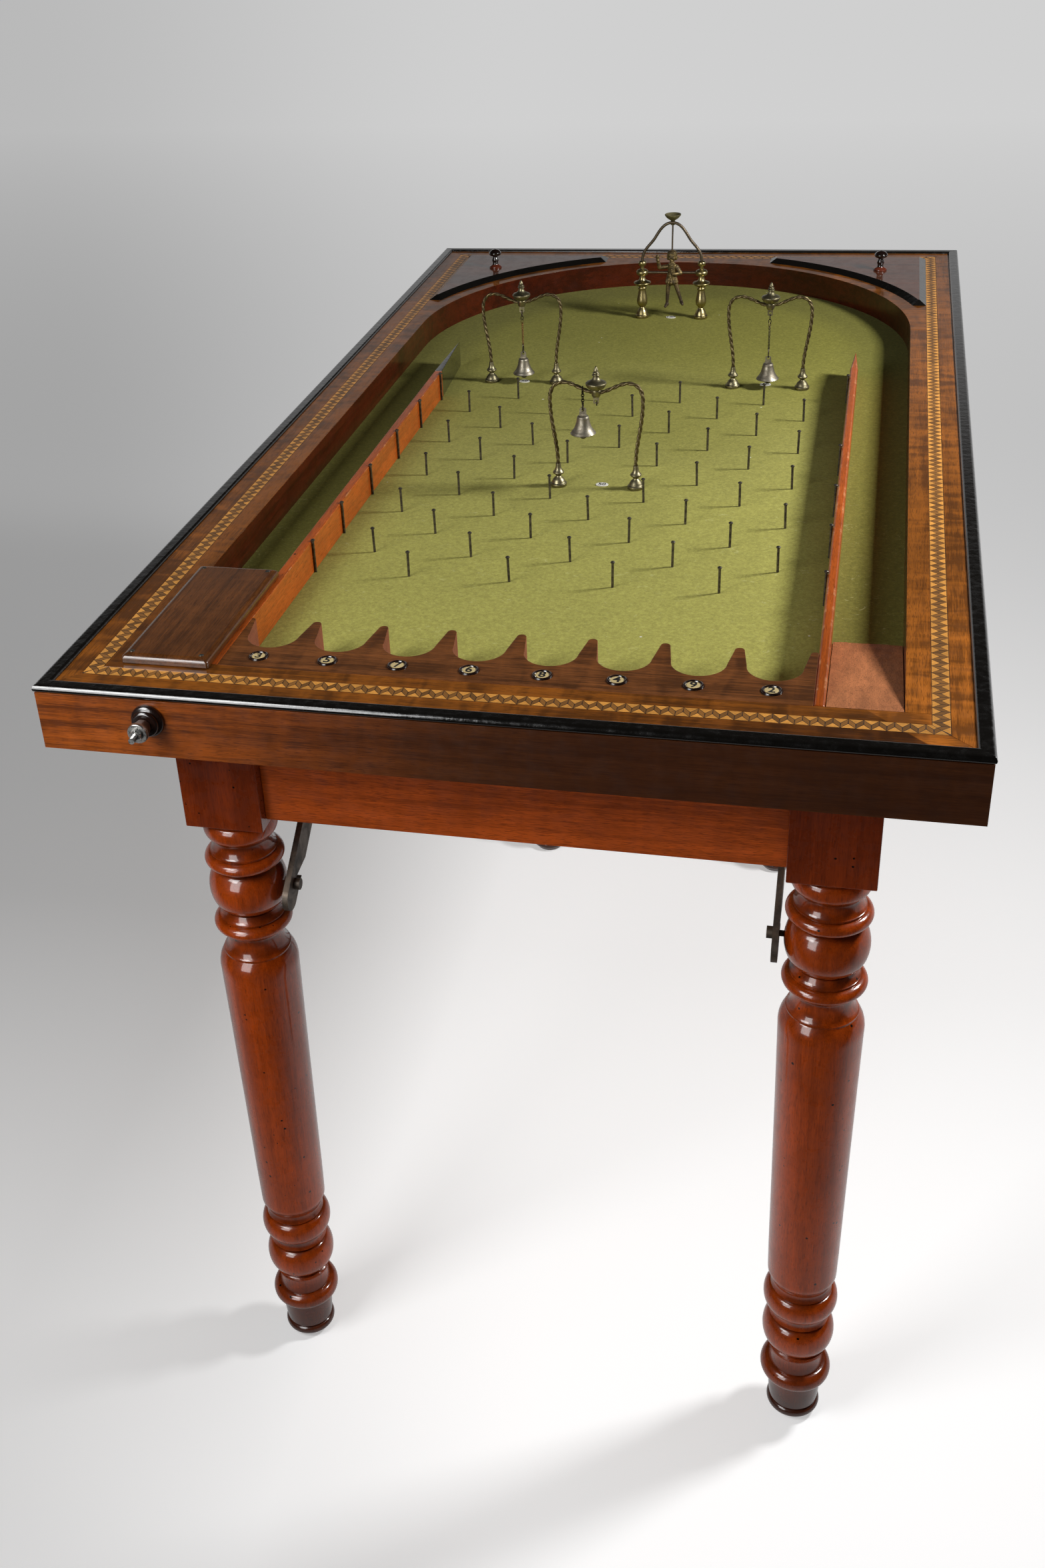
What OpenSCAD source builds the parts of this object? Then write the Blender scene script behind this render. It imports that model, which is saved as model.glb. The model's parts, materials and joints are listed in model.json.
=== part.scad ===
// Bagatelle table: a pinball game case on a folding stand of turned legs.
// Millimetres, +Z up, floor at z = 0, player's end at -Y.

/* [Case] */
// Width of the case over its side boards
case_w = 676; // [640:2:720]
// Length of the case over its end boards
case_l = 1266; // [1240:2:1320]
// Height of the case from its underside to the deck
case_h = 51; // [48:1:60]
// Thickness of the outer boards
board_t = 11; // [8:1:14]
// Thickness of the base board
base_t = 20.4; // [16:0.2:22]
// Thickness of the field cloth
cloth_t = 1.5; // [1:0.5:3]
// Thickness of the deck boards
deck_t = 8; // [6:0.5:10]
// Width of the deck band outside the inlay
band_w = 16; // [12:1:20]
// Width of the inlay strips
inlay_w = 12; // [8:1:16]
// Thickness of the inlay strips
inlay_t = 1.5; // [1:0.25:2.5]
// Width of the side walls' rim
wall_t = 17.5; // [14:0.5:20]
// Width of the front band behind the inlay
front_band = 15; // [12:1:20]
// Width of the edge moulding
moulding_w = 12; // [10:1:14]
// Height of the edge moulding
moulding_h = 6.4; // [5:0.2:8]
// Height of the moulding above the deck
moulding_proud = 2.4; // [1.5:0.1:3]

/* [Field] */
// Width of the rim behind the arch fence
rear_rim = 21; // [17:0.5:26]
// Spacing between pins in a row
pin_pitch = 88; // [84:1:92]
// Spacing between rows of pins
row_pitch = 46.1; // [42:0.1:48]
// Number of rows of pins
pin_rows = 11; // [9:2:11]
// Height of the pins above the cloth
pin_h = 24; // [18:1:28]
// Shank diameter of the nails
nail_d = 2.2; // [1.8:0.1:2.6]
// Head diameter of the nails
nail_head_d = 3.8; // [3:0.1:4.4]
// Front edge of the field to the first row of pins
row_start = 229; // [220:1:236]
// Thickness of the lane rails
rail_t = 8; // [6:1:10]
// Width of the left lane
left_lane_w = 59.5; // [54:0.5:64]
// Width of the right lane
right_lane_w = 52.5; // [46:0.5:56]
// Length of the left rail's wooden part
left_rail_l = 691; // [670:1:710]
// Length of the left rail's black end
rail_tip_l = 108; // [90:1:120]
// Length of the right rail
right_rail_l = 792; // [770:1:810]
// Length of the pointed end of the right rail
rail_point_l = 60; // [40:1:80]
// Length of the ramp
ramp_l = 154; // [130:1:170]

/* [Cups] */
// Number of cups in the comb
cup_count = 8; // [6:1:8]
// Radius of a cup
cup_r = 20; // [16:0.5:21]
// Radius of a spike's rounded tip
spike_r = 3.6; // [3:0.1:4.5]
// Front edge of the field to the cup centres
cup_y = 52; // [48:1:60]
// Reach of a spike beyond the cup centres
spike_l = 27; // [24:1:30]
// Diameter of the number discs
disc_d = 15; // [12:0.5:17]

/* [Lids] */
// Thickness of a lid above the deck
lid_h = 5; // [4:0.5:7]
// Width of a lid's bevel
lid_bevel = 8; // [6:0.5:8.5]
// Depth of the ball wells' plug under a lid
plug_h = 5; // [3:0.5:8]
// Height of a lid knob
knob_h = 24; // [20:1:28]
// Diameter of a lid knob
knob_d = 16; // [13:0.5:18]

/* [Plunger] */
// Plunger centre from the table's middle
plunger_x = 249.5; // [246:0.5:254]
// Plunger centre above the cloth
plunger_up = 9; // [8:0.5:11]
// Diameter of the plunger rod
rod_d = 6; // [5:0.5:7]
// Diameter of the plunger bush
bush_d = 10; // [9:0.5:12]
// Diameter of the bush's outer ring
ring_d = 26; // [22:1:28]
// Length of the bush's two rings
ring_l = 8; // [6:1:10]
// Length of the flared collar
collar_l = 10.7; // [9:0.1:14]
// Length of the threaded end past the nut
thread_l = 6; // [4:0.5:8]
// Length of the return spring
spring_l = 58; // [52:1:64]
// Number of turns in the return spring
spring_turns = 12; // [8:1:14]
// Wire diameter of the return spring
spring_wire = 1; // [0.8:0.1:1.2]
// Length of the lane cover
cover_l = 163; // [150:1:180]
// Height of the lane cover
cover_h = 8; // [6:0.5:10]

/* [Bell arches] */
// Spacing between the feet of a bell arch
arch_span = 74; // [70:1:80]
// Diameter of the arch wire
wire_d = 2.7; // [2.2:0.1:3]
// Height of an arch foot
foot_h = 22.5; // [20:0.5:25]
// Height of an arch wire's shoulders
arch_h = 102; // [96:1:108]
// Diameter of the hub's dish
hub_d = 19.4; // [16:0.2:22]
// Diameter of a bell's lip
bell_d = 24; // [20:0.5:26]
// Height of a bell without its tab
bell_h = 17.5; // [15:0.5:20]
// Diameter of the clapper ball
clapper_d = 8.5; // [7:0.5:10]
// Centre radius of a chain link
link_r = 2; // [1.8:0.1:2.2]
// Wire diameter of a chain link
link_wire = 1; // [0.8:0.1:1.1]
// Number of links in the rear chains
rear_links = 13; // [7:2:15]
// Centre radius of the hook over a bell
hook_r = 3; // [2.6:0.1:3.2]

/* [Figure] */
// Spacing between the columns of the figure frame
column_span = 72; // [68:1:78]
// Height of the columns
column_h = 70; // [66:1:74]
// Height of the pivot bar above the cloth
pivot_up = 55.5; // [54:0.5:58]
// Diameter of the pivot bar
pivot_d = 3; // [2:0.2:3.4]
// Rise of the arch wire above the columns
figure_rise = 45; // [42:1:50]
// Diameter of the dish above the figure
dish_d = 19.6; // [16:0.2:22]
// Top of the dish above the cloth
dish_up = 124.2; // [122:0.2:128]
// Head diameter of the figure
head_d = 14; // [12:0.5:15]

/* [Stand] */
// Height of the case's underside above the floor
stand_h = 746.6; // [740:0.2:780]
// Side of a leg's square block
block_w = 67; // [60:1:70]
// Height of a leg's square block
block_h = 120; // [110:1:125]
// Middle of the table to a front leg
front_leg_x = 242; // [240:1:250]
// Middle of the table to a rear leg
rear_leg_x = 163; // [158:1:164]
// Front end of the case to the front legs
front_leg_y = 117.5; // [112:0.5:122]
// Rear end of the case to the rear legs
rear_leg_y = 259; // [255:1:264]
// Height of the aprons
apron_h = 112.9; // [100:0.1:115]
// Thickness of the aprons
apron_t = 20; // [16:1:24]
// Setback of an apron from the leg blocks
apron_in = 10; // [6:1:12]
// Width of a stay
stay_w = 25; // [22:1:27]
// Thickness of a stay
stay_t = 5; // [4:0.5:6]
// Drop of the stay studs below the case
stud_drop = 192.6; // [188:0.2:196]
// Run of a stay from its stud to its pivot
stay_run = 243.5; // [235:0.5:250]
// Diameter of the stay studs
stud_d = 5; // [4:0.5:5.5]

/* [Hidden] */
$fn = 48;
e = 0.01;

// Clearances: fixed fits, running fits, free gaps and seats of loose pieces
fit = 0.05;
run = 0.05;
gap = 0.5;
seat = 0.3;
// Joint between boards of one frame
butt = 0.05;

// Heights
base_z = stand_h + base_t;
field_z = base_z + cloth_t;
deck_z = stand_h + case_h;
top_z = deck_z + moulding_proud;
kerb_z = deck_z - deck_t;
moulding_z = top_z - moulding_h;

// Half sizes in plan: outer faces, inside of the boards, inlay and walls
out_x = case_w / 2;
out_y = case_l / 2;
in_x = out_x - board_t;
in_y = out_y - board_t;
inlay_x = in_x - band_w;
inlay_y = in_y - band_w;
wall_x = inlay_x - inlay_w;
wall_y = inlay_y - inlay_w;
field_x = wall_x - wall_t;
field_y = wall_y - front_band;
moulding_out = moulding_w - board_t;

// The table's middle lies behind the origin by half of the plunger's reach,
// so that the origin is the middle of the whole object's box.
ring_face = out_y + ring_l;
collar_y = ring_face + seat;
washer_t = 1.5;
nut_t = 5;
nut_y = collar_y + collar_l + washer_t;
rod_end = nut_y + nut_t + thread_l;
table_y = (rod_end - out_y - moulding_out) / 2;

// Field layout, in the table's own plan
arch_r = field_x;
arch_y = wall_y - rear_rim - arch_r;
row_y = row_start - field_y;
field_mid = 3;
left_rail_x = -field_x + left_lane_w;
right_rail_x = field_x - right_lane_w - rail_t;
comb_x0 = left_rail_x + rail_t;
comb_x1 = right_rail_x;
cup_pitch = (comb_x1 - comb_x0 - 2.2) / cup_count;
comb_mid = (comb_x0 + comb_x1) / 2 - 1;
// Distances of the rail nails from the front edge of the field
left_nails = [228, 313, 406, 501, 591, 679];
right_nails = [216, 309, 398, 498, 703];
lane_nail_h = 31.2;
nail_depth = 10;
nail_head_t = 2;
cover_over = 9;
cover_nail_h = 1;
rear_arch_y = arch_y - 124.5;
arch_places = [[-2, row_y + 218], [-134, rear_arch_y], [134.5, rear_arch_y]];
figure_place = [-1.5, arch_y + 132.5];
plaque_places = [[-2, figure_place[1]], [2, arch_places[0][1] + 5], [-134, rear_arch_y + 2],
    [132, rear_arch_y + 10]];
plaque = [12, 9, 0.8];

// Lids
lid_near = arch_y + 94.5;
lid_far = wall_x - 193;
well_near = lid_near + 44;
well_far = lid_far + 34;
well_in = 11;
lid_knob = [wall_x - 55, wall_y - 72];
rim_r = arch_r + wall_t;
lid_slope = lid_bevel / lid_h;
knob_pin_d = 4;

// Bell arches
tab_z = 82;
collar_z = 89;
rear_drop = 3;
eye_r = 1.4;
bar_d = 1;
hook_wire = 1.2;
loop_r = 4.4;
top_link_r = 2.6;
centre_links = 3;
tab_t = 1;
link_slack = 0.1;
// Free space of a swinging link in its eye, and of the loop on the sloping wire
swing_gap = 0.5;
loop_seat = 0.6;
link_pitch = 2 * link_r - link_wire - link_slack;

// Stand
leaf_t = 2;
leaf_l = 35;
hinge_w = 50;
hinge_off = 3;
barrel_r = 2.7;
pin_r = 1.4;
hinge_z = stand_h - hinge_off;
front_y = front_leg_y - out_y;
rear_y = out_y - rear_leg_y;
leg_top = stand_h - block_h;
stud_z = stand_h - stud_drop;
stay_pivot_z = stand_h - stay_w / 2 - 1;
stay_gap = 0.3;
lug_t = 1.8;
stay_in = 37;
stay_past = 24;
stud_head_d = 10;
stud_head_t = 4.7;
slot_w = 6.2;
bracket_l = 26;

module on_table() translate([0, table_y, 0]) children();

// A prism between two heights
module slab(z0, z1) translate([0, 0, z0]) linear_extrude(z1 - z0) children();

// A rectangle centred on the table's middle line
module plan(x, y) square([2 * x, 2 * y], center = true);

module tube_along_y(r, y0, y1) translate([0, y0, 0]) rotate([-90, 0, 0]) cylinder(r = r, h = y1 - y0);

module tube_along_x(r, x0, x1) translate([x0, 0, 0]) rotate([0, 90, 0]) cylinder(r = r, h = x1 - x0);

// A turned piece from its outline, [radius, height] from the bottom up
module turned(outline)
    rotate_extrude()
        polygon(concat([[0, outline[0][1]]], outline, [[0, outline[len(outline) - 1][1]]]));

// Round stretch of an outline between two heights, from radius r0 out (or in) to r
function bulge(z0, z1, r0, r) =
    [for (t = [0:30:180]) [r0 + (r - r0) * sin(t), (z0 + z1) / 2 - (z1 - z0) / 2 * cos(t)]];

// Points on a cubic curve through four poles
function cubic_at(p, t) = let (s = 1 - t)
    s * s * s * p[0] + 3 * s * s * t * p[1] + 3 * s * t * t * p[2] + t * t * t * p[3];
function cubic(p, n) = [for (i = [0:n]) cubic_at(p, i / n)];

function drop_last(v) = [for (i = [0:len(v) - 2]) v[i]];

// A round wire along a path in the XZ plane
module wire(path, r, sides = 8) {
    n = len(path);
    rings = [for (i = [0:n - 1])
        let (t = path[min(i + 1, n - 1)] - path[max(i - 1, 0)], u = t / norm(t))
        for (k = [0:sides - 1]) let (a = 360 * k / sides)
        [path[i][0] - r * cos(a) * u[1], r * sin(a), path[i][1] + r * cos(a) * u[0]]];
    ends = [[for (k = [0:sides - 1]) k], [for (k = [sides - 1:-1:0]) (n - 1) * sides + k]];
    walls = [for (i = [0:n - 2]) for (k = [0:sides - 1]) let (m = (k + 1) % sides)
        each [[i * sides + m, i * sides + k, (i + 1) * sides + k],
            [i * sides + m, (i + 1) * sides + k, (i + 1) * sides + m]]];
    polyhedron(rings, concat(ends, walls));
}

// A wire ring in the YZ plane, or in the XZ plane when crossed
module ring(r, wire_r, crossed = false)
    rotate([0, 90, crossed ? 90 : 0])
        rotate_extrude() translate([r, 0]) circle(wire_r, $fn = 16);

// A frame side's plan, mitred at both ends, outer edge at y = -half_y
module mitred(half_x, half_y, w)
    polygon([[butt - half_x, -half_y], [half_x - butt, -half_y],
        [half_x - w - butt, w - half_y], [w - half_x + butt, w - half_y]]);

// Places of the pins, long rows and short rows in turn
function pin_row(j) = j % 2 == 0
    ? [for (i = [0:3]) [field_mid + (i - 1.5) * pin_pitch, row_y + j * row_pitch]]
    : [for (i = [0:4]) if (!(j == 5 && i == 2)) [field_mid + (i - 2) * pin_pitch, row_y + j * row_pitch]];
pin_places = [for (j = [0:pin_rows - 1]) each pin_row(j)];
rail_nail_x = [comb_x0 + nail_d / 2 + 0.1, right_rail_x - nail_d / 2 - 0.1];
lane_nail_places = concat([for (y = left_nails) [rail_nail_x[0], y - field_y]],
    [for (y = right_nails) [rail_nail_x[1], y - field_y]]);

module nail(z_tip, z_top, head_d = nail_head_d) {
    translate([0, 0, z_tip]) cylinder(d = nail_d, h = z_top - nail_head_t - z_tip);
    translate([0, 0, z_top - nail_head_t]) cylinder(d = head_d, h = nail_head_t / 2);
    translate([0, 0, z_top - nail_head_t / 2])
        cylinder(d1 = head_d, d2 = head_d / 2, h = nail_head_t / 2);
}

module nail_holes(z0, z1)
    for (p = concat(pin_places, lane_nail_places))
        translate([p[0], p[1], z0]) cylinder(d = nail_d + 2 * fit, h = z1 - z0);

// Case

module front_board() color("#6e3a1e") on_table() difference() {
    translate([-out_x, -out_y, stand_h]) cube([case_w, board_t, moulding_z - stand_h]);
    plunger_bore();
}

// Bore for the plunger bush through the front of the case
module plunger_bore()
    translate([-plunger_x, 0, field_z + plunger_up])
        tube_along_y(bush_d / 2 + fit, -out_y - 1, 1 - field_y);

module case_boards() color("#6a371d") on_table() {
    translate([-out_x, in_y, stand_h]) cube([case_w, board_t, moulding_z - stand_h]);
    for (s = [-1, 1])
        translate([s * (in_x + out_x) / 2 - board_t / 2, butt - in_y, stand_h])
            cube([board_t, 2 * (in_y - butt), moulding_z - stand_h]);
}

module base_board() color("#5d3a20") on_table() difference() {
    slab(stand_h, base_z) plan(in_x, in_y);
    nail_holes(base_z - nail_depth - e, base_z + 1);
}

// Plan of the field: the rectangle and the half circle behind it
module field_plan() {
    translate([-field_x, -field_y]) square([2 * field_x, arch_y + field_y]);
    intersection() {
        translate([0, arch_y]) circle(arch_r, $fn = 128);
        translate([-arch_r, arch_y - 1]) square([2 * arch_r, arch_r + 2]);
    }
}

module cloth() color("#5c5a32") on_table() difference() {
    slab(base_z, field_z) field_plan();
    nail_holes(base_z - 1, field_z + 1);
}

module end_kerbs() color("#8a5a33") on_table() {
    difference() {
        translate([-in_x, -in_y, base_z]) cube([2 * in_x, in_y - field_y, kerb_z - base_z]);
        plunger_bore();
    }
    translate([-in_x, wall_y, base_z]) cube([2 * in_x, in_y - wall_y, kerb_z - base_z]);
}

module side_walls() color("#7a3c20") on_table()
    for (s = [0, 1]) mirror([s, 0, 0]) {
        translate([wall_x, -field_y, base_z]) cube([in_x - wall_x, field_y + wall_y, kerb_z - base_z]);
        translate([field_x, -field_y, base_z]) cube([wall_t, field_y + arch_y, deck_z - base_z]);
    }

// Plan of one ball well's region, drawn in by a margin from the lid's outline
module corner_plan(in, near, far) difference() {
    translate([far, near]) square([wall_x - in - far, wall_y - in - near]);
    translate([0, arch_y]) circle(rim_r + in, $fn = 128);
}

// The arch fence fills the rear of the case, with a ball well in each corner
module arch_fence() color("#7a3c20") on_table() slab(base_z, deck_z) difference() {
    translate([-wall_x, arch_y]) square([2 * wall_x, wall_y - arch_y]);
    translate([0, arch_y]) circle(arch_r, $fn = 128);
    for (s = [0, 1]) mirror([s, 0]) corner_plan(well_in, well_near, well_far);
}

// Deck boards: four mitred boards with a groove for the inlay at their inner edge
module deck_boards() color("#4c2a1a") on_table() difference() {
    slab(kerb_z, deck_z) {
        for (s = [-1, 1]) rotate(90 * s) mitred(in_y, in_x, in_x - wall_x);
        deck_front();
        mirror([0, 1]) mitred(in_x, in_y, in_x - wall_x);
    }
    slab(deck_z - inlay_t, deck_z + 1) difference() {
        plan(inlay_x, inlay_y);
        plan(wall_x, wall_y);
    }
}

module deck_front() {
    mitred(in_x, in_y, in_x - wall_x);
    translate([butt - wall_x, -wall_y - e]) square([2 * (wall_x - butt), front_band + e]);
}

module inlay_band() color("#b58a4e") on_table() slab(deck_z - inlay_t, deck_z) {
    for (s = [0, 1]) mirror([0, s]) mitred(inlay_x, inlay_y, inlay_w);
    for (s = [-1, 1]) rotate(90 * s) mitred(inlay_y, inlay_x, inlay_w);
}

// Section of the edge moulding, outer face at x = 0, inner face at x = moulding_w
module moulding_section() {
    nose = moulding_h / 2;
    crown = 2.4;
    translate([nose, nose]) circle(nose);
    translate([moulding_w - crown, moulding_h - crown]) circle(crown);
    translate([nose, 0]) square([moulding_w - nose, moulding_h - crown]);
    translate([nose, nose]) square([moulding_w - nose - crown, moulding_h - nose]);
}

module moulding_side(half_x, half_y) intersection() {
    slab(moulding_z - 1, top_z + 1) mitred(half_x, half_y, moulding_w);
    translate([-half_x, -half_y, moulding_z]) rotate([90, 0, 90])
        linear_extrude(2 * half_x) moulding_section();
}

module edge_moulding() color("#1d1512") on_table() {
    half_x = out_x + moulding_out;
    half_y = out_y + moulding_out;
    for (s = [0, 1]) mirror([0, s]) moulding_side(half_x, half_y);
    for (s = [-1, 1]) rotate(90 * s) moulding_side(half_y, half_x);
}

// Field

function cup_x(i) = comb_mid + (i - (cup_count - 1) / 2) * cup_pitch;
function spike_x(i) = comb_mid + (i - cup_count / 2) * cup_pitch;

module comb_plan() intersection() {
    translate([comb_x0, -field_y]) square([comb_x1 - comb_x0, cup_y + spike_l]);
    union() {
        difference() {
            translate([comb_x0, -field_y]) square([comb_x1 - comb_x0, cup_y]);
            for (i = [0:cup_count - 1]) translate([cup_x(i), cup_y - field_y]) circle(cup_r);
        }
        for (i = [0:cup_count]) translate([spike_x(i), cup_y - field_y]) spike_plan();
    }
}

module spike_plan() {
    root = cup_pitch / 2 - cup_r;
    polygon([[-root, -e], [root, -e], [spike_r, spike_l - spike_r], [-spike_r, spike_l - spike_r]]);
    translate([0, spike_l - spike_r]) circle(spike_r);
}

disc_t = 2;
disc_proud = 0.4;
disc_y = 17 - field_y;

module cup_comb() color("#5a2c1a") on_table() difference() {
    slab(field_z, deck_z) comb_plan();
    for (i = [0:cup_count - 1])
        translate([cup_x(i), disc_y, deck_z - disc_t + disc_proud]) cylinder(d = disc_d + 2 * fit, h = disc_t);
}

// Number discs by the cups, and oval plaques on the cloth
module number_plates() color("#e6dcc0") on_table() {
    for (i = [0:cup_count - 1])
        translate([cup_x(i), disc_y, deck_z - disc_t + disc_proud]) cylinder(d = disc_d, h = disc_t);
    for (p = plaque_places)
        translate([p[0], p[1], 0]) slab(field_z, field_z + plaque[2])
            polygon([for (a = [0:20:340]) [plaque[0] / 2 * cos(a), plaque[1] / 2 * sin(a)]]);
}

module left_rail() color("#a8532a") on_table()
    translate([left_rail_x, -field_y, field_z]) cube([rail_t, left_rail_l, deck_z - field_z]);

module left_rail_tip() color("#241a16") on_table() slab(field_z, deck_z)
    translate([left_rail_x, left_rail_l - field_y])
        polygon([[0, 0], [rail_t, 0], [rail_t / 4, rail_tip_l]]);

module right_rail() color("#a8532a") on_table() slab(field_z, deck_z)
    translate([right_rail_x, -field_y])
        polygon([[0, 0], [rail_t, 0], [rail_t, right_rail_l - rail_point_l],
            [rail_t / 2, right_rail_l], [0, right_rail_l - rail_point_l]]);

module field_pins() color("#3a3532") on_table()
    for (p = pin_places) translate([p[0], p[1], 0]) nail(base_z - nail_depth, field_z + pin_h);

cover_x0 = -field_x - 5.5;
cover_w = left_lane_w + 10;
cover_y0 = -field_y - cover_over;
cover_nail_in = 7;
cover_nails = [for (x = [cover_nail_in, cover_w - cover_nail_in], y = [cover_nail_in, cover_l - cover_nail_in])
    [cover_x0 + x, cover_y0 + y]];
cover_flat = 4;
cover_bevel = 5;

module nails() color("#3a3532") on_table() {
    for (p = lane_nail_places) translate([p[0], p[1], 0]) nail(base_z - nail_depth, field_z + lane_nail_h);
    for (p = cover_nails)
        translate([p[0], p[1], deck_z + cover_h - cover_nail_h])
            cylinder(d = nail_head_d, h = cover_nail_h + 0.6);
}

module lane_cover() color("#6b3a20") on_table() difference() {
    union() {
        translate([cover_x0, cover_y0, deck_z]) cube([cover_w, cover_l, cover_flat]);
        hull() {
            translate([cover_x0, cover_y0, deck_z + cover_flat]) cube([cover_w, cover_l, e]);
            translate([cover_x0 + cover_bevel, cover_y0 + cover_bevel, deck_z + cover_h - e])
                cube([cover_w - 2 * cover_bevel, cover_l - 2 * cover_bevel, e]);
        }
    }
    for (p = cover_nails)
        translate([p[0], p[1], deck_z + cover_h - cover_nail_h])
            cylinder(d = nail_head_d + 2 * fit, h = cover_nail_h + 1);
}

ramp_edge = 0.8;

module ball_ramp() color("#8f3f20") on_table()
    translate([right_rail_x + rail_t + gap, -field_y, field_z]) rotate([90, 0, 90])
        linear_extrude(right_lane_w - 2 * gap)
            polygon([[0, 0], [ramp_l, 0], [ramp_l, ramp_edge], [0, deck_z - field_z]]);

// Lids

// The raised top of the right lid, bevelled all round
module lid_top() difference() {
    hull() for (b = [0, 1])
        translate([lid_far + b * lid_bevel, lid_near + b * lid_bevel, deck_z + b * (lid_h - e)])
            cube([wall_x - lid_far - 2 * b * lid_bevel, wall_y - lid_near - 2 * b * lid_bevel, e]);
    translate([0, arch_y, deck_z - 1])
        cylinder(r1 = rim_r - lid_slope, r2 = rim_r + lid_bevel + lid_slope, h = lid_h + 2, $fn = 128);
}

module lid(side) color("#5a2b1c") on_table() mirror([side < 0 ? 1 : 0, 0, 0]) difference() {
    union() {
        lid_top();
        slab(deck_z - plug_h, deck_z + e) corner_plan(well_in + gap, well_near + gap, well_far + gap);
    }
    translate([lid_knob[0], lid_knob[1], deck_z]) cylinder(d = knob_pin_d + 2 * fit, h = lid_h + 1);
}

module lid_left() lid(-1);
module lid_right() lid(1);

knob_outline = concat([[knob_d / 2, 0], [knob_d / 2, 2.5], [knob_d * 0.3, 4]],
    bulge(5, 12, knob_d * 0.26, knob_d * 0.19),
    [[knob_d * 0.3, 13]], bulge(13.5, 20, knob_d * 0.36, knob_d / 2),
    [[knob_d * 0.3, 22.5], [knob_d * 0.12, knob_h]]);

module knob(side) color("#2a1a14") on_table() translate([side * lid_knob[0], lid_knob[1], deck_z + lid_h]) {
    turned(knob_outline);
    translate([0, 0, 1 - lid_h]) cylinder(d = knob_pin_d, h = lid_h);
}

module knob_left() knob(-1);
module knob_right() knob(1);

// Plunger

module on_plunger() on_table() translate([-plunger_x, 0, field_z + plunger_up]) children();

striker_y = -field_y + spring_l;
striker_l = 12;
striker_d = 15;

module plunger_bush() color("#2b211c") on_plunger() difference() {
    union() {
        tube_along_y(bush_d / 2, -out_y, -field_y);
        tube_along_y(ring_d / 2, -out_y - ring_l / 2, -out_y);
        tube_along_y(ring_d * 0.4, -ring_face, -out_y - ring_l / 2);
    }
    tube_along_y(rod_d / 2 + run, -ring_face - 1, 1 - field_y);
}

module plunger_rod() color("#77706a") on_plunger() difference() {
    tube_along_y(rod_d / 2, -rod_end, striker_y + striker_l / 2);
    translate([-rod_d, -rod_end - 1, -0.6]) cube([2 * rod_d, 3, 1.2]);
}

module plunger_striker() color("#8a5a33") on_plunger() difference() {
    tube_along_y(striker_d / 2, striker_y, striker_y + striker_l);
    tube_along_y(rod_d / 2 + fit, striker_y - 1, striker_y + striker_l / 2);
}

module plunger_collar() color("#7a4a2c") on_plunger() difference() {
    translate([0, -collar_y, 0]) rotate([90, 22.5, 0]) cylinder(d1 = 12, d2 = 17.8, h = collar_l, $fn = 8);
    tube_along_y(rod_d / 2 + fit, -collar_y - collar_l - 1, 1 - collar_y);
}

module plunger_nut() color("#6f6a66") on_plunger() difference() {
    union() {
        tube_along_y(7.6, -nut_y, washer_t - nut_y);
        translate([0, -nut_y, 0]) rotate([90, 0, 0]) cylinder(d = 12, h = nut_t, $fn = 6);
    }
    tube_along_y(rod_d / 2 + fit, -nut_y - nut_t - 1, washer_t - nut_y + 1);
}

// The return spring: one unbroken wire, wound between the kerb and the striker
spring_r = rod_d / 2 + spring_wire / 2 + 1;
spring_sides = 6;
curl_rings = 8;
spring_rings = spring_turns * curl_rings;
spring_run = spring_l - spring_wire - 0.4;
function spring_at(i) = let (a = 360 * i / curl_rings)
    [spring_r * cos(a), spring_run * i / spring_rings, spring_r * sin(a)];
spring_gap = min([for (i = [0:curl_rings])
    norm(spring_at(i) - spring_at(i + curl_rings))]) - spring_wire;
echo("least gap between the turns of the spring, mm", spring_gap);

module plunger_spring() color("#8f8a84") on_plunger()
    translate([0, spring_wire / 2 + 0.2 - field_y, 0]) {
        rings = [for (i = [0:spring_rings])
            let (c = spring_at(i), out = [c[0], 0, c[2]] / spring_r,
                side = [0, 1, 0])
            for (k = [0:spring_sides - 1]) let (a = 360 * k / spring_sides)
            c + spring_wire / 2 * (cos(a) * out + sin(a) * side)];
        walls = [for (i = [0:spring_rings - 1]) for (k = [0:spring_sides - 1])
            let (m = (k + 1) % spring_sides, a = i * spring_sides, b = a + spring_sides)
            each [[a + k, a + m, b + k], [a + m, b + m, b + k]]];
        ends = [[for (k = [spring_sides - 1:-1:0]) k],
            [for (k = [0:spring_sides - 1]) spring_rings * spring_sides + k]];
        polyhedron(rings, concat(walls, ends));
    }

// Bell arches

// Half of an arch wire: up from the foot, over the shoulder and down to the hub
hub_collar_r = 4;
half_span = arch_span / 2;
bow = half_span + 6.5;
wire_rise = [[half_span, foot_h], [half_span, foot_h + 22], [bow, arch_h - 40], [bow, arch_h - 17.5]];
wire_shoulder = [[bow, arch_h - 17.5], [bow, arch_h - 5], [half_span + 1, arch_h], [half_span - 7, arch_h]];
wire_dip = [[half_span - 7, arch_h], [22, arch_h], [14, arch_h - 7], [hub_collar_r + seat, arch_h - 9]];
wire_half = concat(drop_last(cubic(wire_rise, 6)), drop_last(cubic(wire_shoulder, 6)), cubic(wire_dip, 6));

function at_arch(i) = [arch_places[i][0], arch_places[i][1], field_z - (i == 0 ? 0 : rear_drop)];

module arch_wire(i) color("#8a5a34") on_table() translate(at_arch(i) + [0, 0, i == 0 ? 0 : rear_drop])
    for (s = [0, 1]) mirror([s, 0, 0])
        wire([for (p = wire_half) [p[0], p[1] - (i == 0 ? 0 : rear_drop) * (p[1] - foot_h) / (arch_h - foot_h)]],
            wire_d / 2);

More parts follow.
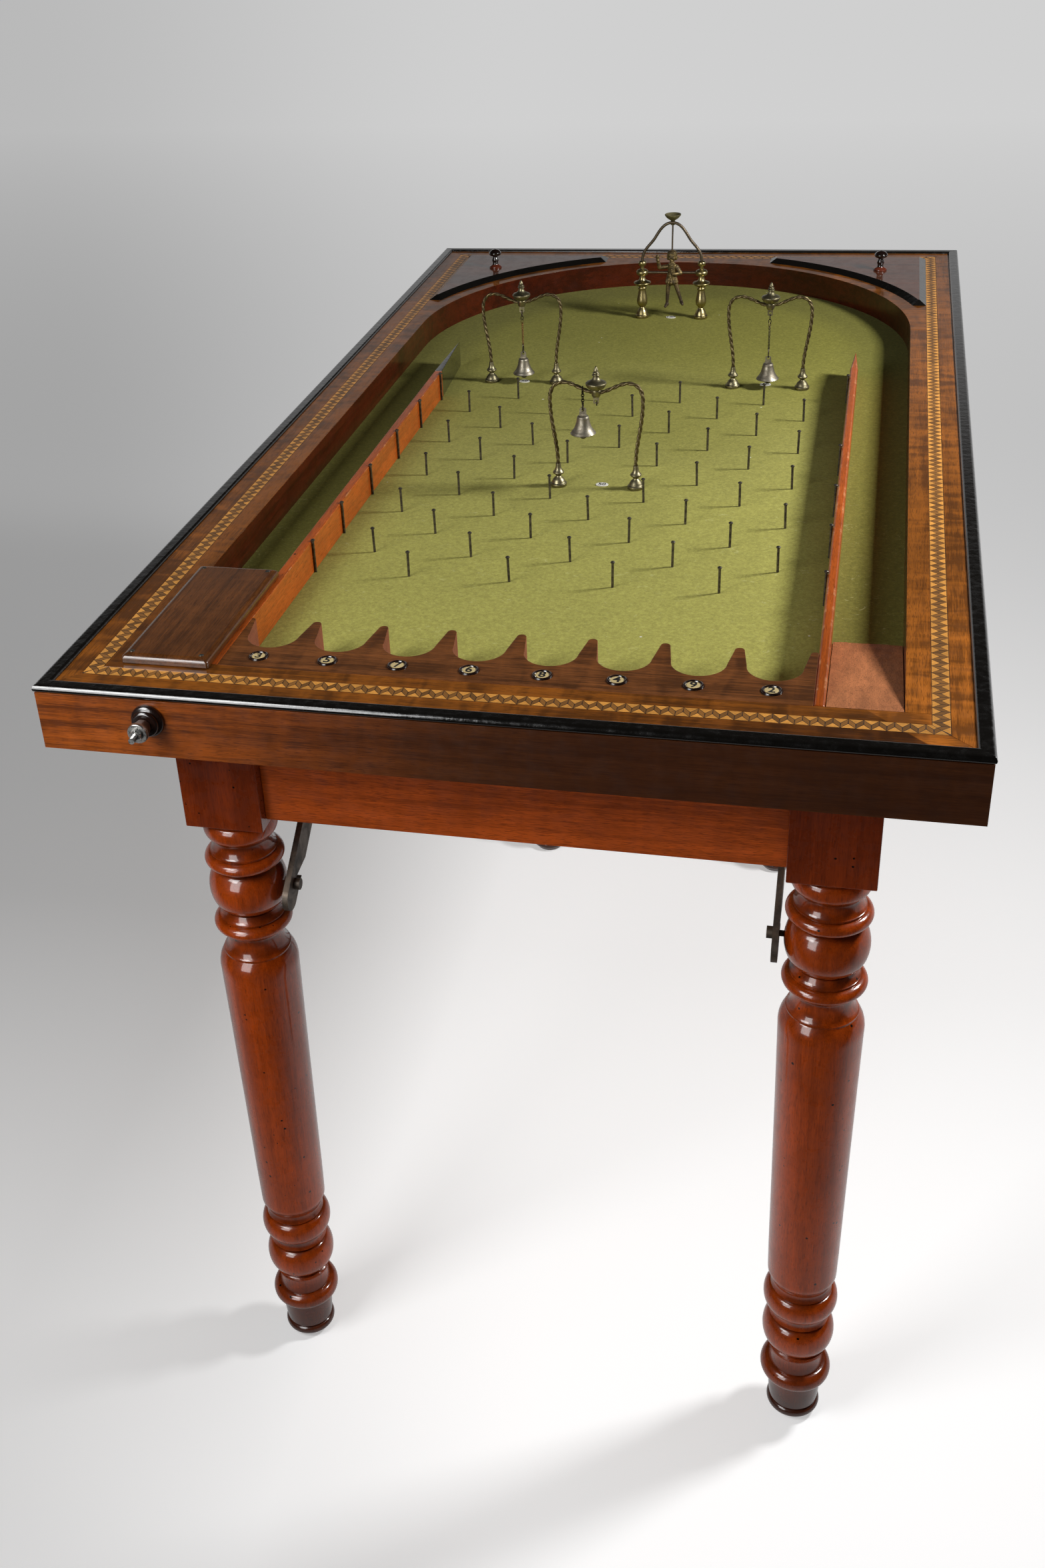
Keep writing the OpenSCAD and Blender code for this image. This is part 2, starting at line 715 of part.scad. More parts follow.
module arch_wire_centre() arch_wire(0);
module arch_wire_left() arch_wire(1);
module arch_wire_right() arch_wire(2);

foot_outline = concat([[7.8, 0], [7.8, 2.6], [6.4, 4.2], [5.4, 6.6], [4.2, 9.4], [2.9, 11]],
    bulge(12.4, 17.8, 2.9, 5.4), [[2.9, 19.4], [1.9, foot_h]]);

module arch_feet() color("#a8813f") on_table()
    for (p = arch_places, s = [-1, 1])
        translate([p[0] + s * arch_span / 2, p[1], field_z]) turned(foot_outline);

hub_outline = [[3.65, collar_z], [hub_collar_r, collar_z + 5], [5.6, collar_z + 6], [8, arch_h - 5],
    [9.3, arch_h - 3], [hub_d / 2, arch_h - 0.5], [9.2, arch_h + 0.6], [5.6, arch_h + 2], [3.4, arch_h + 3.6],
    [2.6, arch_h + 6], [3.6, arch_h + 7.4], [2.2, arch_h + 8.8], [2.9, arch_h + 10.2], [2.6, arch_h + 12],
    [0.5, arch_h + 16]];

module arch_hubs() color("#9a7638") on_table()
    for (i = [0:2]) translate(at_arch(i)) {
        turned(hub_outline);
        difference() {
            translate([-2.75, -tab_t / 2, tab_z]) cube([5.5, tab_t, collar_z - tab_z + e]);
            translate([0, 0, eye_z]) rotate([90, 0, 0]) cylinder(r = eye_r, h = 4, center = true);
        }
    }

// A chain hangs from the hub's eye; the centre chain loops over the dipping wire instead
eye_z = tab_z + 2.5;
loop_point = cubic_at(wire_dip, 0.7);
function chain_links(i) = i == 0 ? centre_links : rear_links;
function top_r(i) = i == 0 ? loop_r : top_link_r;
// Swing axis of a chain
function chain_x(i) = arch_places[i][0] - (i == 0 ? loop_point[0] : 0);
function chain_z(i) = i == 0 ? field_z + loop_point[1]
    : field_z - rear_drop + eye_z - (eye_r - link_wire / 2 - swing_gap);
// Centres of the top link, the small links and the hook, and the bell's swing axis
function top_z(i) = chain_z(i) - top_r(i) + (i == 0 ? wire_d / 2 + loop_seat + link_wire / 2 : 0);
function first_z(i) = top_z(i) - (top_r(i) + link_r - link_wire - link_slack);
function last_z(i) = first_z(i) - (chain_links(i) - 1) * link_pitch;
function hook_z(i) = last_z(i) - (link_r + hook_r - link_wire / 2 - hook_wire / 2 - link_slack);
function bell_z(i) = hook_z(i) - hook_r;
echo("table middle behind the origin", table_y);
echo("chain axes", [for (i = [0:2]) [chain_x(i), arch_places[i][1] + table_y, chain_z(i)]]);
echo("bell axes", [for (i = [0:2]) bell_z(i)]);

module chain(i) color("#6b5136") on_table() translate([chain_x(i), arch_places[i][1], 0]) {
    translate([0, 0, top_z(i)]) ring(top_r(i), link_wire / 2);
    for (k = [0:chain_links(i) - 1])
        translate([0, 0, first_z(i) - k * link_pitch]) ring(link_r, link_wire / 2, crossed = k % 2 == 0);
    translate([0, 0, hook_z(i)]) ring(hook_r, hook_wire / 2);
}

module chain_centre() chain(0);
module chain_left() chain(1);
module chain_right() chain(2);

// Bell: heights from the lip; its swing axis lies in the hook, in the tab's eye
bell_wall = 1.2;
bell_eye_r = 1.6;
bell_axis = bell_h + 5.5;
staple_z = bell_h - 4;
staple_l = 10.8;
bell_eye_z = bell_axis - (bell_eye_r - hook_wire / 2 - swing_gap);
bell_shape = [[0.5, 0], [0.46, 0.07], [0.385, 0.24], [0.325, 0.43], [0.28, 0.64], [0.235, 0.86], [0.2, 0.92]];
function bell_skin(in) = [for (p = bell_shape) [p[0] * bell_d - in, p[1] * bell_h]];

module bell(i) color("#6f6a58") on_table()
    translate([chain_x(i), arch_places[i][1], bell_z(i) - bell_axis]) {
        difference() {
            turned(concat(bell_skin(0), [[bell_d * 0.14, bell_h]]));
            translate([0, 0, -e]) turned(concat(bell_skin(bell_wall), [[bell_d * 0.12, bell_h - bell_wall]]));
        }
        tube_staple();
        difference() {
            translate([-4.25, -tab_t / 2, bell_h - 0.5]) cube([8.5, tab_t, 8.5]);
            translate([0, 0, bell_eye_z]) rotate([90, 0, 0]) cylinder(r = bell_eye_r, h = 4, center = true);
        }
    }

// Bar across the inside of a bell, on which the clapper hangs
module tube_staple() translate([0, 0, staple_z]) tube_along_x(bar_d / 2, -staple_l / 2, staple_l / 2);

module bell_centre() bell(0);
module bell_left() bell(1);
module bell_right() bell(2);

clapper_eye = 1.2;

module clapper(i) color("#2e2a28") on_table()
    translate([chain_x(i), arch_places[i][1], bell_z(i) - bell_axis + staple_z]) {
        ring(clapper_eye, 0.4);
        translate([0, 0, 1 - staple_z]) cylinder(r = 0.6, h = staple_z - 1 - clapper_eye);
        translate([0, 0, -staple_z - 1]) sphere(d = clapper_d);
    }

module clapper_centre() clapper(0);
module clapper_left() clapper(1);
module clapper_right() clapper(2);

// Figure frame

module at_figure() on_table() translate([figure_place[0], figure_place[1], field_z]) children();

column_outline = concat([[8.2, 0], [8.2, 3.4], [7, 4.6], [5.6, 6.6], [4.4, 9.6], [2.9, 12.6]],
    [[5, 15], [6.4, 18], [6.5, 21], [5.4, 27], [4.2, 34.4], [4.9, 35.4], [4.9, 37.6], [8.8, 40.8], [10.5, 43]],
    [[9.6, 44.2], [4.6, 46.2], [3, 50]], bulge(pivot_up - 4.5, pivot_up + 4.5, 3, 7.4),
    [[2.4, 61]], bulge(63.2, column_h - 0.4, 2.6, 4.9), [[1.6, column_h]]);

module figure_stand() color("#a8813f") at_figure() {
    for (s = [-1, 1]) translate([s * column_span / 2, 0, 0]) difference() {
        turned(column_outline);
        translate([0, 0, pivot_up]) rotate([0, -90 * s, 0])
            cylinder(d = pivot_d + 2 * fit, h = 10);
    }
    translate([0, 0, pivot_up]) tube_along_x(pivot_d / 2, fit - column_span / 2, column_span / 2 - fit);
}

figure_wire_half = concat(
    drop_last(cubic([[column_span / 2, column_h], [column_span / 2, column_h + 13], [26, column_h + 18],
        [20, column_h + 28]], 7)),
    cubic([[20, column_h + 28], [14, column_h + 38], [9, column_h + figure_rise], [0, column_h + figure_rise]], 7));
figure_wire = concat([for (i = [0:len(figure_wire_half) - 2]) figure_wire_half[i]],
    [for (i = [len(figure_wire_half) - 1:-1:0]) [-figure_wire_half[i][0], figure_wire_half[i][1]]]);

module figure_arch() color("#8a5a34") at_figure() wire(figure_wire, wire_d / 2);

// A limb between two points, with a round end a little fuller than the limb
module limb(a, b, ra, rb) {
    d = b - a;
    l = norm(d);
    translate(b) sphere(rb + 0.25, $fn = 16);
    translate(a) rotate([0, acos(d[2] / l), atan2(d[1], d[0])]) cylinder(r1 = ra, r2 = rb, h = l, $fn = 16);
}

// The figure in a tunic, with one hand raised, pivoted at the waist
head_up = 75.5;
module figure() color("#6e4a38") at_figure() difference() {
    union() {
        translate([0, 0, head_up]) sphere(d = head_d);
        translate([0, 0, 64]) cylinder(r = 2.6, h = 8);
        turned([[8.6, 42.5], [8.2, 44], [6.4, 49], [5.4, 52], [6, 57], [6.6, 62], [5.2, 65], [2.4, 66.5]]);
        limb([-5.5, 0, 62.5], [-15, -1, 61.5], 2.4, 2);
        limb([-15, -1, 61.5], [-17, -3, 74], 2, 2.2);
        limb([5.5, 0, 62.5], [11, -2, 55.5], 2.4, 2);
        limb([11, -2, 55.5], [3, -7, 55], 2, 2);
        limb([-3.6, 0, 43], [-5.5, 0, 17], 3.2, 2.4);
        limb([3.6, 0, 43], [12, 0, 20], 3.2, 2.4);
        limb([-5.5, 0, 15.5], [-6.5, -6, 15], 2.4, 2);
        limb([12, 0, 18.5], [13.5, -6, 18], 2.4, 2);
    }
    translate([0, 0, pivot_up]) tube_along_x(pivot_d / 2 + run, -30, 30);
}

dish_back = wire_d / 2 + 2.1 + 0.6;
dish_neck = dish_up - 6.7;

// Rod from the head to the dish; it passes behind the arch wire
module figure_dish() color("#8f6f3c") at_figure() difference() {
    union() {
        translate([0, dish_back, 0]) turned([[2.1, dish_neck - 10], [2.1, dish_neck - 1], [3.2, dish_neck],
            [dish_d / 2, dish_up - 1], [dish_d / 2, dish_up], [dish_d / 2 - 1.6, dish_up], [2, dish_neck + 1.6]]);
        translate([0, 1.5, head_up + head_d / 2 - 1.2]) rotate([-atan2(dish_back - 1.5, dish_neck - 10 - head_up - 6), 0, 0])
            cylinder(r = 1, h = dish_neck - 8 - head_up - head_d / 2 + 1.2);
    }
    translate([0, 0, head_up]) sphere(d = head_d + 2 * e);
}

// Stand

// Outline of a turned leg below its block, from the floor up, drawn for one height of the turned part
drawn_h = 626.6;
leg_outline = concat([[18, 0], [19.5, 4]], bulge(6, 14, 21.5, 24.3), [[22.6, 16], [23.5, 29], [24.6, 45]],
    bulge(47, 67, 25, 32), [[26, 68], [24.5, 79], [26, 90]], bulge(92, 126, 27, 32), [[27.6, 129]],
    bulge(139, 165, 27, 32.9), [[26.6, 171], [28.5, 181], [30.4, 187], [34.5, 471]],
    [[33, 479], [29.5, 485], [26, 488], [26, 490], [24.5, 493], [24.5, 504]], bulge(507, 525, 26, 34),
    [[27.4, 531]], bulge(536, 570, 28, 33), [[27.7, 571.5]], bulge(573.5, 591.5, 28.5, 33.8), [[28, 597]],
    bulge(605, drawn_h - 0.6, 29, 32), [[29, drawn_h + 1]]);

stud_root = 18;
module leg(x, y) color("#9a4420") on_table() translate([x, y, 0]) difference() {
    union() {
        turned([for (p = leg_outline) [p[0], p[1] * leg_top / drawn_h]]);
        translate([-block_w / 2, -block_w / 2, leg_top]) cube([block_w, block_w, block_h]);
    }
    translate([0, 0, stud_z]) mirror([x < 0 ? 1 : 0, 0, 0])
        tube_along_x(stud_d / 2 + fit, -50, fit - stud_root);
}

module front_left_leg() leg(-front_leg_x, front_y);
module front_right_leg() leg(front_leg_x, front_y);
module rear_left_leg() leg(-rear_leg_x, rear_y);
module rear_right_leg() leg(rear_leg_x, rear_y);

// An apron between two legs, its show face towards the table's end
module apron(leg_x, leg_y, end) color("#9a4420") on_table() {
    half = leg_x - block_w / 2;
    face = leg_y + end * (block_w / 2 - apron_in);
    translate([-half, min(face, face - end * apron_t), stand_h - apron_h]) cube([2 * half, apron_t, apron_h]);
}

module front_apron() apron(front_leg_x, front_y, -1);
module rear_apron() apron(rear_leg_x, rear_y, 1);

// Hinges: legs' inner faces to the underside; the axis runs along X
knuckle = (hinge_w - 1) / 3;
front_hinge_y = front_y + block_w / 2 + hinge_off;
rear_hinge_y = rear_y - block_w / 2 - hinge_off;
// Each stand: leg position along X, hinge axis along Y, and the way inwards
stands = [[front_leg_x, front_hinge_y, 1], [rear_leg_x, rear_hinge_y, -1]];

module at_hinges(s) for (side = [-1, 1])
    translate([side * s[0], s[1], hinge_z]) mirror([0, s[2] < 0 ? 1 : 0, 0]) children();

module barrel(x0, x1) tube_along_x(barrel_r, x0, x1);

module fixed_leaf() difference() {
    union() {
        barrel(-knuckle / 2, knuckle / 2);
        translate([-knuckle / 2, 0, hinge_off - leaf_t]) cube([knuckle, hinge_off + 1, leaf_t]);
        translate([-hinge_w / 2, hinge_off, hinge_off - leaf_t]) cube([hinge_w, leaf_l - hinge_off, leaf_t]);
    }
    tube_along_x(pin_r + fit, -hinge_w, hinge_w);
}

module moving_leaf() difference() {
    union() {
        for (s = [0, 1]) mirror([s, 0, 0]) {
            barrel(knuckle / 2 + 0.5, hinge_w / 2);
            translate([knuckle / 2 + 0.5, -hinge_off, -hinge_off - 1]) cube([knuckle, leaf_t, hinge_off + 1]);
        }
        translate([-hinge_w / 2, -hinge_off, -leaf_l]) cube([hinge_w, leaf_t, leaf_l - hinge_off]);
    }
    tube_along_x(pin_r + run, -hinge_w, hinge_w);
}

module fixed_hinge_leaves() color("#4b4744") on_table() for (s = stands) at_hinges(s) fixed_leaf();

// Stays: flat iron bars that hook over the studs of a stand's legs
front_stay_x = front_leg_x - stay_in - stay_t / 2;
rear_stay_x = rear_leg_x - stay_in - stay_t / 2;
stay_rise = stay_pivot_z - stud_z;
stay_len = norm([stay_run, stay_rise]);
stay_slope = atan2(stay_rise, stay_run);
slot_flare = 3;
slot_run = 40;

// One stay's outline in the YZ plane, stud at the origin, pivot towards +Y
module stay_plan() difference() {
    rotate(stay_slope) {
        circle(d = stay_w);
        translate([stay_len, 0]) circle(d = stay_w);
        translate([0, -stay_w / 2]) square([stay_len, stay_w]);
        translate([stay_w / 2 - stay_past, 0]) circle(d = stay_w);
        translate([stay_w / 2 - stay_past, -stay_w / 2]) square([stay_past, stay_w]);
    }
    circle(d = slot_w);
    polygon([[0, -slot_w / 2], [slot_run, -slot_w / 2], [slot_run, slot_w / 2 + slot_flare * slot_run / 25],
        [0, slot_w / 2]]);
    rotate(stay_slope) translate([stay_len, 0]) circle(r = stay_pin_r + run);
}

stay_pin_r = 3;

module stay(x, y, way) translate([x, y, stud_z]) mirror([0, way < 0 ? 1 : 0, 0])
    rotate([90, 0, 90]) translate([0, 0, -stay_t / 2]) linear_extrude(stay_t) stay_plan();

module front_stays() color("#4b4744") on_table() for (s = [-1, 1]) stay(s * front_stay_x, front_y, 1);
module rear_stays() color("#4b4744") on_table() for (s = [-1, 1]) stay(s * rear_stay_x, rear_y, -1);

// A stud from a leg, with its head beyond the stay
module stud(stay_x, leg_x, y, side) translate([side * stay_x, y, stud_z]) mirror([side < 0 ? 1 : 0, 0, 0]) {
    tube_along_x(stud_d / 2, -stay_t / 2 - stay_gap - 1, leg_x - stay_x - stud_root);
    tube_along_x(stud_head_d / 2, -stay_t / 2 - stay_gap - stud_head_t, -stay_t / 2 - stay_gap);
}

module front_irons() color("#4b4744") on_table() {
    at_hinges(stands[0]) moving_leaf();
    for (s = [-1, 1]) stud(front_stay_x, front_leg_x, front_y, s);
}

module rear_irons() color("#4b4744") on_table() {
    at_hinges(stands[1]) moving_leaf();
    for (s = [-1, 1]) stud(rear_stay_x, rear_leg_x, rear_y, s);
}

// Places of the stays' pivots
pivots = [for (s = [-1, 1]) each [[s * front_stay_x, front_y + stay_run], [s * rear_stay_x, rear_y - stay_run]]];
lug_x = stay_t / 2 + stay_gap;
lug_down = 8;

module stay_brackets() color("#4b4744") on_table()
    for (p = pivots) translate([p[0], p[1], 0]) difference() {
        union() {
            for (s = [-1, 1])
                translate([s > 0 ? lug_x : -lug_x - lug_t, -bracket_l / 2, stay_pivot_z - lug_down])
                    cube([lug_t, bracket_l, stand_h - stay_pivot_z + lug_down]);
            translate([-lug_x - lug_t, -bracket_l / 2, stand_h - 0.8]) cube([2 * (lug_x + lug_t), bracket_l, 0.8]);
        }
        translate([0, 0, stay_pivot_z]) tube_along_x(stay_pin_r + fit, -20, 20);
    }

module stand_pins() color("#3f3b38") on_table() {
    for (s = stands) at_hinges(s) tube_along_x(pin_r, -hinge_w / 2, hinge_w / 2);
    for (p = pivots) translate([p[0], p[1], stay_pivot_z])
        tube_along_x(stay_pin_r, -lug_x - lug_t, lug_x + lug_t);
}

front_board();
case_boards();
base_board();
cloth();
end_kerbs();
side_walls();
arch_fence();
deck_boards();
inlay_band();
edge_moulding();
cup_comb();
number_plates();
left_rail();
left_rail_tip();
right_rail();
field_pins();
nails();
lane_cover();
ball_ramp();
lid_left();
lid_right();
knob_left();
knob_right();
plunger_bush();
plunger_rod();
plunger_striker();
plunger_collar();
plunger_nut();
plunger_spring();
arch_wire_centre();
arch_wire_left();
arch_wire_right();
arch_feet();
arch_hubs();
chain_centre();
chain_left();
chain_right();
bell_centre();
bell_left();
bell_right();
clapper_centre();
clapper_left();
clapper_right();
figure_stand();
figure_arch();
figure();
figure_dish();
front_left_leg();
front_right_leg();
rear_left_leg();
rear_right_leg();
front_apron();
rear_apron();
fixed_hinge_leaves();
front_irons();
rear_irons();
front_stays();
rear_stays();
stay_brackets();
stand_pins();
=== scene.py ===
"""Bagatelle table: a pinball game case with bell arches on a folding stand of turned legs.

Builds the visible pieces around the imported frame, with their woods, cloth and metals, and the studio stage.
"""

import json
import math
import random

import bmesh
import bpy
from mathutils import Matrix, Vector, noise

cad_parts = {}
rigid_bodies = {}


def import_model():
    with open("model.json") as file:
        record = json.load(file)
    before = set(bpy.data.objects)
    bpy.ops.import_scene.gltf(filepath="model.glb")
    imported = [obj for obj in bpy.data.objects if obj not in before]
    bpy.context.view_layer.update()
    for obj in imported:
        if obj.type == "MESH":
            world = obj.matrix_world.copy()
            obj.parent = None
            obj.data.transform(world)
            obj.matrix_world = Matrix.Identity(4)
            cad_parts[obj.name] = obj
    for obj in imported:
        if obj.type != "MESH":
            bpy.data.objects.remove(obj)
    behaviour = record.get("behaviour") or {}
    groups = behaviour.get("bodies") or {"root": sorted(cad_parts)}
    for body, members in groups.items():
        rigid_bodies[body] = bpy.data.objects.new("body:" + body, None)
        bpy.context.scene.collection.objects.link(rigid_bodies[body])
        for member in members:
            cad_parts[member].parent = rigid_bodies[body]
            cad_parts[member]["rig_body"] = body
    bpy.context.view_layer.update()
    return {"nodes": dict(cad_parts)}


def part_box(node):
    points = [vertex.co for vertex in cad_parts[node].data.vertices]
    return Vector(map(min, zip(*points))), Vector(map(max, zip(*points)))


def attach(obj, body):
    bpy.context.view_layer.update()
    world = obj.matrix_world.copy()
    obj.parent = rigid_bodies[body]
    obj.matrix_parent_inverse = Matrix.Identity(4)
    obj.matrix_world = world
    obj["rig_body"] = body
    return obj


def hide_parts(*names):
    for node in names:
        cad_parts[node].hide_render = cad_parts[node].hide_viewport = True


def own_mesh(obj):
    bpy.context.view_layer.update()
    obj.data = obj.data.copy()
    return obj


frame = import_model()

bl_info = {
    "name": "Bagatelle table",
    "version": (1, 0, 0),
    "blender": (4, 5, 0),
    "location": "3D View > Sidebar > Bagatelle",
    "description": "Builds a bagatelle table with bell arches on a folding stand",
    "category": "Object",
}

# The table's own plan is in millimetres, with its middle behind the frame's origin
MM = 0.001
TABLE_Y = 15.25

# Heights
STAND_H = 746.6
BASE_Z = 767.0
FIELD_Z = 768.5
DECK_Z = 797.6

# Half sizes in plan
INLAY_X, INLAY_Y = 311.0, 606.0
FIELD_X, FIELD_Y = 281.5, 579.0
ARCH_Y = 291.5
ARCH_R = 281.5
INLAY_W = 12.0

# Field layout
LEFT_RAIL_X = -222.0
RAIL_T = 8.0
RIGHT_RAIL_X = 221.0
COMB_X0 = LEFT_RAIL_X + RAIL_T
CUPS = 8
CUP_PITCH = (RIGHT_RAIL_X - COMB_X0 - 2.2) / CUPS
COMB_MID = (COMB_X0 + RIGHT_RAIL_X) / 2 - 1
DISC_Y = 17 - FIELD_Y
ROW_Y = -350.0
ROW_PITCH = 46.1
PIN_PITCH = 88.0
PIN_MID_X = 3.0
PIN_ROWS = 11
LEFT_NAILS = (-351, -266, -173, -78, 12, 100)
RIGHT_NAILS = (-363, -270, -181, -81, 124)
NAIL_DEPTH = 8.0
LANE_NAIL_H = 31.2
COVER_NAIL_INSET = 7.0
PLAQUE_HALF_X, PLAQUE_HALF_Y = 6.0, 4.5
PLAQUES = ((-2, 424, "100"), (2, -127, "50"), (-134, 169, "60"), (132, 177, "50"))
NUMBERS = "35768492"

# Arches and figure
ARCHES = {"centre": (-2.0, -132.0, 0.0), "left": (-134.0, 167.0, 3.0), "right": (134.5, 167.0, 3.0)}
HALF_SPAN = 37.0
ARCH_H = 102.0
FOOT_H = 22.5
ARCH_WIRE_D = 3.9
TAB_T = 1.0
BELL_BAR_UP = 13.5
FIGURE = (-1.5, 424.0)
COLUMN_SPAN = 72.0
COLUMN_H = 70.0
PIVOT_UP = 55.5

# Corner lids
KNOB_X, KNOB_Y = 244.0, 522.0
LID_T = 5.0
KNOB_BASE_H = 5.0

# Plunger
PLUNGER_X = -249.5
PLUNGER_Z = 777.5
SPRING_ROOM = 58.0
SPRING_R = 4.5
SPRING_WIRE_R = 0.5
COLLAR_FACETS = 8
NUT_FLAT_R = 4.1

# Stand
LEG_BLOCK_HALF = 33.5

# Camera, in the frame's metres
CAMERA_PLACE = (0.24208, -1.55697, 1.35612)
CAMERA_TURN = (2.091, 0.2233, -0.2084)
CAMERA_SHIFT = (0.0512, -0.0356)


def paint(red, green, blue):
    """A colour seen as 0 to 255, as Blender's linear one."""
    def linear(c):
        c = c / 255
        return c / 12.92 if c <= 0.04045 else ((c + 0.055) / 1.055) ** 2.4
    return (linear(red), linear(green), linear(blue), 1.0)


def colour_property(name, about, red, green, blue):
    """A colour setting, given as 0 to 255."""
    return bpy.props.FloatVectorProperty(
        name=name, description=about, subtype="COLOR", size=4, min=0.0, max=1.0,
        default=paint(red, green, blue),
    )


def length_property(name, about, mm):
    """A length setting, given in millimetres."""
    return bpy.props.FloatProperty(
        name=name, description=about, default=mm * MM, min=0.0, unit="LENGTH", precision=5,
    )


def share_property(name, about, value):
    """A setting from 0 to 1."""
    return bpy.props.FloatProperty(
        name=name, description=about, default=value, min=0.0, max=1.0, subtype="FACTOR",
    )


# Settings


class CaseSettings(bpy.types.PropertyGroup):
    edge_round: length_property("Edge rounding", "Rounding of the boards' edges", 0.7)
    tile_pitch: length_property("Inlay pitch", "Length of one repeat of the inlay", 10.0)
    tile_seam: length_property("Inlay seam", "Width of the dark seams between inlay tiles", 0.34)
    board_colour: colour_property("Case boards", "Mid colour of the case boards", 156, 76, 14)
    veneer_colour: colour_property("Deck veneer", "Mid colour of the deck veneer", 124, 70, 18)
    tile_light: colour_property("Light tiles", "Colour of the inlay's light triangles", 228, 158, 70)
    tile_brown: colour_property("Brown tiles", "Colour of the inlay's brown lozenges", 138, 92, 40)
    ebony_colour: colour_property("Ebonised wood", "Colour of the black mouldings", 17, 15, 13)


class FieldSettings(bpy.types.PropertyGroup):
    pin_height: length_property("Pin height", "Height of the pins above the cloth", 24.0)
    nail_diameter: length_property("Nail diameter", "Shank diameter of pins and nails", 2.2)
    head_diameter: length_property("Head diameter", "Diameter of the pins' heads", 3.8)
    lean: bpy.props.FloatProperty(
        name="Lean", description="Most that a pin leans", default=math.radians(1.3), subtype="ANGLE",
    )
    cloth_colour: colour_property("Cloth", "Colour of the field cloth", 156, 152, 78)
    rail_colour: colour_property("Rails", "Mid colour of the lane rails", 178, 84, 26)
    ramp_colour: colour_property("Ramp", "Mid colour of the ramp", 176, 110, 68)
    comb_colour: colour_property("Cup comb", "Mid colour of the comb's top", 112, 66, 32)


class ArchSettings(bpy.types.PropertyGroup):
    twist: length_property("Twist", "Length of one full turn of the arch wires", 14.4)
    strand: length_property("Strand", "Diameter of one strand of the arch wires", 2.6)
    brass_colour: colour_property("Brass", "Colour of the turned brass", 182, 168, 122)
    wire_colour: colour_property("Arch wire", "Colour of the twisted wire", 118, 106, 76)
    bell_colour: colour_property("Bell metal", "Colour of the bells", 162, 156, 140)
    figure_colour: colour_property("Figure", "Colour of the figure's worn paint", 136, 116, 72)


class StandSettings(bpy.types.PropertyGroup):
    leg_colour: colour_property("Legs", "Mid colour of the legs", 174, 68, 8)
    apron_colour: colour_property("Aprons", "Mid colour of the aprons", 192, 84, 20)
    worm: share_property("Worm holes", "Share of the wood's patches with a worm hole", 0.5)
    grime: share_property("Grime", "Darkness of the grime in the turned hollows", 0.75)


class StageSettings(bpy.types.PropertyGroup):
    lens: bpy.props.FloatProperty(
        name="Lens", description="Focal length of the camera", default=37.41, min=1.0,
    )
    right_lamp: bpy.props.FloatProperty(
        name="Right lamp", description="Power of the lamp on the right", default=16.0,
    )
    left_lamp: bpy.props.FloatProperty(
        name="Left lamp", description="Power of the lamp on the left", default=10.0,
    )
    room: share_property("Room light", "Strength of the even light all round", 0.05)
    shine: bpy.props.FloatProperty(
        name="Shine", description="Power of the window seen in polish", default=11.0,
    )


# Shapes, in millimetres in the table's plan


def cubic_at(poles, t):
    s = 1 - t
    weights = (s * s * s, 3 * s * s * t, 3 * s * t * t, t * t * t)
    return [sum(w * p[k] for w, p in zip(weights, poles)) for k in range(len(poles[0]))]


def cubic(poles, count):
    """Points along a cubic curve with four poles."""
    return [cubic_at(poles, i / count) for i in range(count + 1)]


def bulge(z0, z1, r0, r, step=12):
    """Round stretch of an outline between two heights, from radius r0 out to r."""
    points = []
    for degrees in range(0, 181, step):
        turn = math.radians(degrees)
        points.append((r0 + (r - r0) * math.sin(turn), (z0 + z1) / 2 - (z1 - z0) / 2 * math.cos(turn)))
    return points


def softened(outline, radius):
    """The outline with its sharp corners rounded off by short cuts."""
    result = [outline[0]]
    for a, b, c in zip(outline, outline[1:], outline[2:]):
        back, on = Vector(a) - Vector(b), Vector(c) - Vector(b)
        if min(back.length, on.length) < 1e-6:
            continue
        bend = back.angle(-on)
        cut = min(radius, 0.35 * back.length, 0.35 * on.length)
        if bend < 0.5 or cut < 0.03:
            result.append(b)
            continue
        start, end = Vector(b) + back.normalized() * cut, Vector(b) + on.normalized() * cut
        middle = (start + end) / 4 + Vector(b) / 2
        result += [tuple(start), tuple(middle), tuple(end)]
    result.append(outline[-1])
    return result


def turn(bm, outline, place, axis="Z", sides=48, hollow=0.0):
    """Adds a turned body: outline of (radius, height) from bottom to top, about an axis through place."""
    layer = bm.verts.layers.float.get("hollow") or bm.verts.layers.float.new("hollow")
    to_axis = {
        "Z": Matrix.Identity(3),
        "-Y": Matrix.Rotation(math.radians(90), 3, "X"),
        "X": Matrix.Rotation(math.radians(90), 3, "Y"),
    }[axis]
    rows = []
    for i, (radius, height) in enumerate(outline):
        near = [r for r, h in outline if abs(h - height) < hollow] if hollow else [radius]
        depth = max(0.0, min(1.0, (max(near) - radius) / 6)) if hollow else 0.0
        row = []
        count = 1 if radius < 1e-6 else sides
        for k in range(count):
            a = 2 * math.pi * k / sides
            point = Vector((radius * math.cos(a), radius * math.sin(a), height))
            vert = bm.verts.new(Vector(place) + to_axis @ point)
            vert[layer] = depth
            row.append(vert)
        rows.append(row)
    for low, high in zip(rows, rows[1:]):
        for k in range(sides):
            m = (k + 1) % sides
            if len(low) == 1 and len(high) == 1:
                break
            if len(low) == 1:
                bm.faces.new((low[0], high[m], high[k]))
            elif len(high) == 1:
                bm.faces.new((low[k], low[m], high[0]))
            else:
                bm.faces.new((low[k], low[m], high[m], high[k]))
    if len(rows[0]) > 1:
        bm.faces.new(rows[0][::-1])
    if len(rows[-1]) > 1:
        bm.faces.new(rows[-1])
    return bm


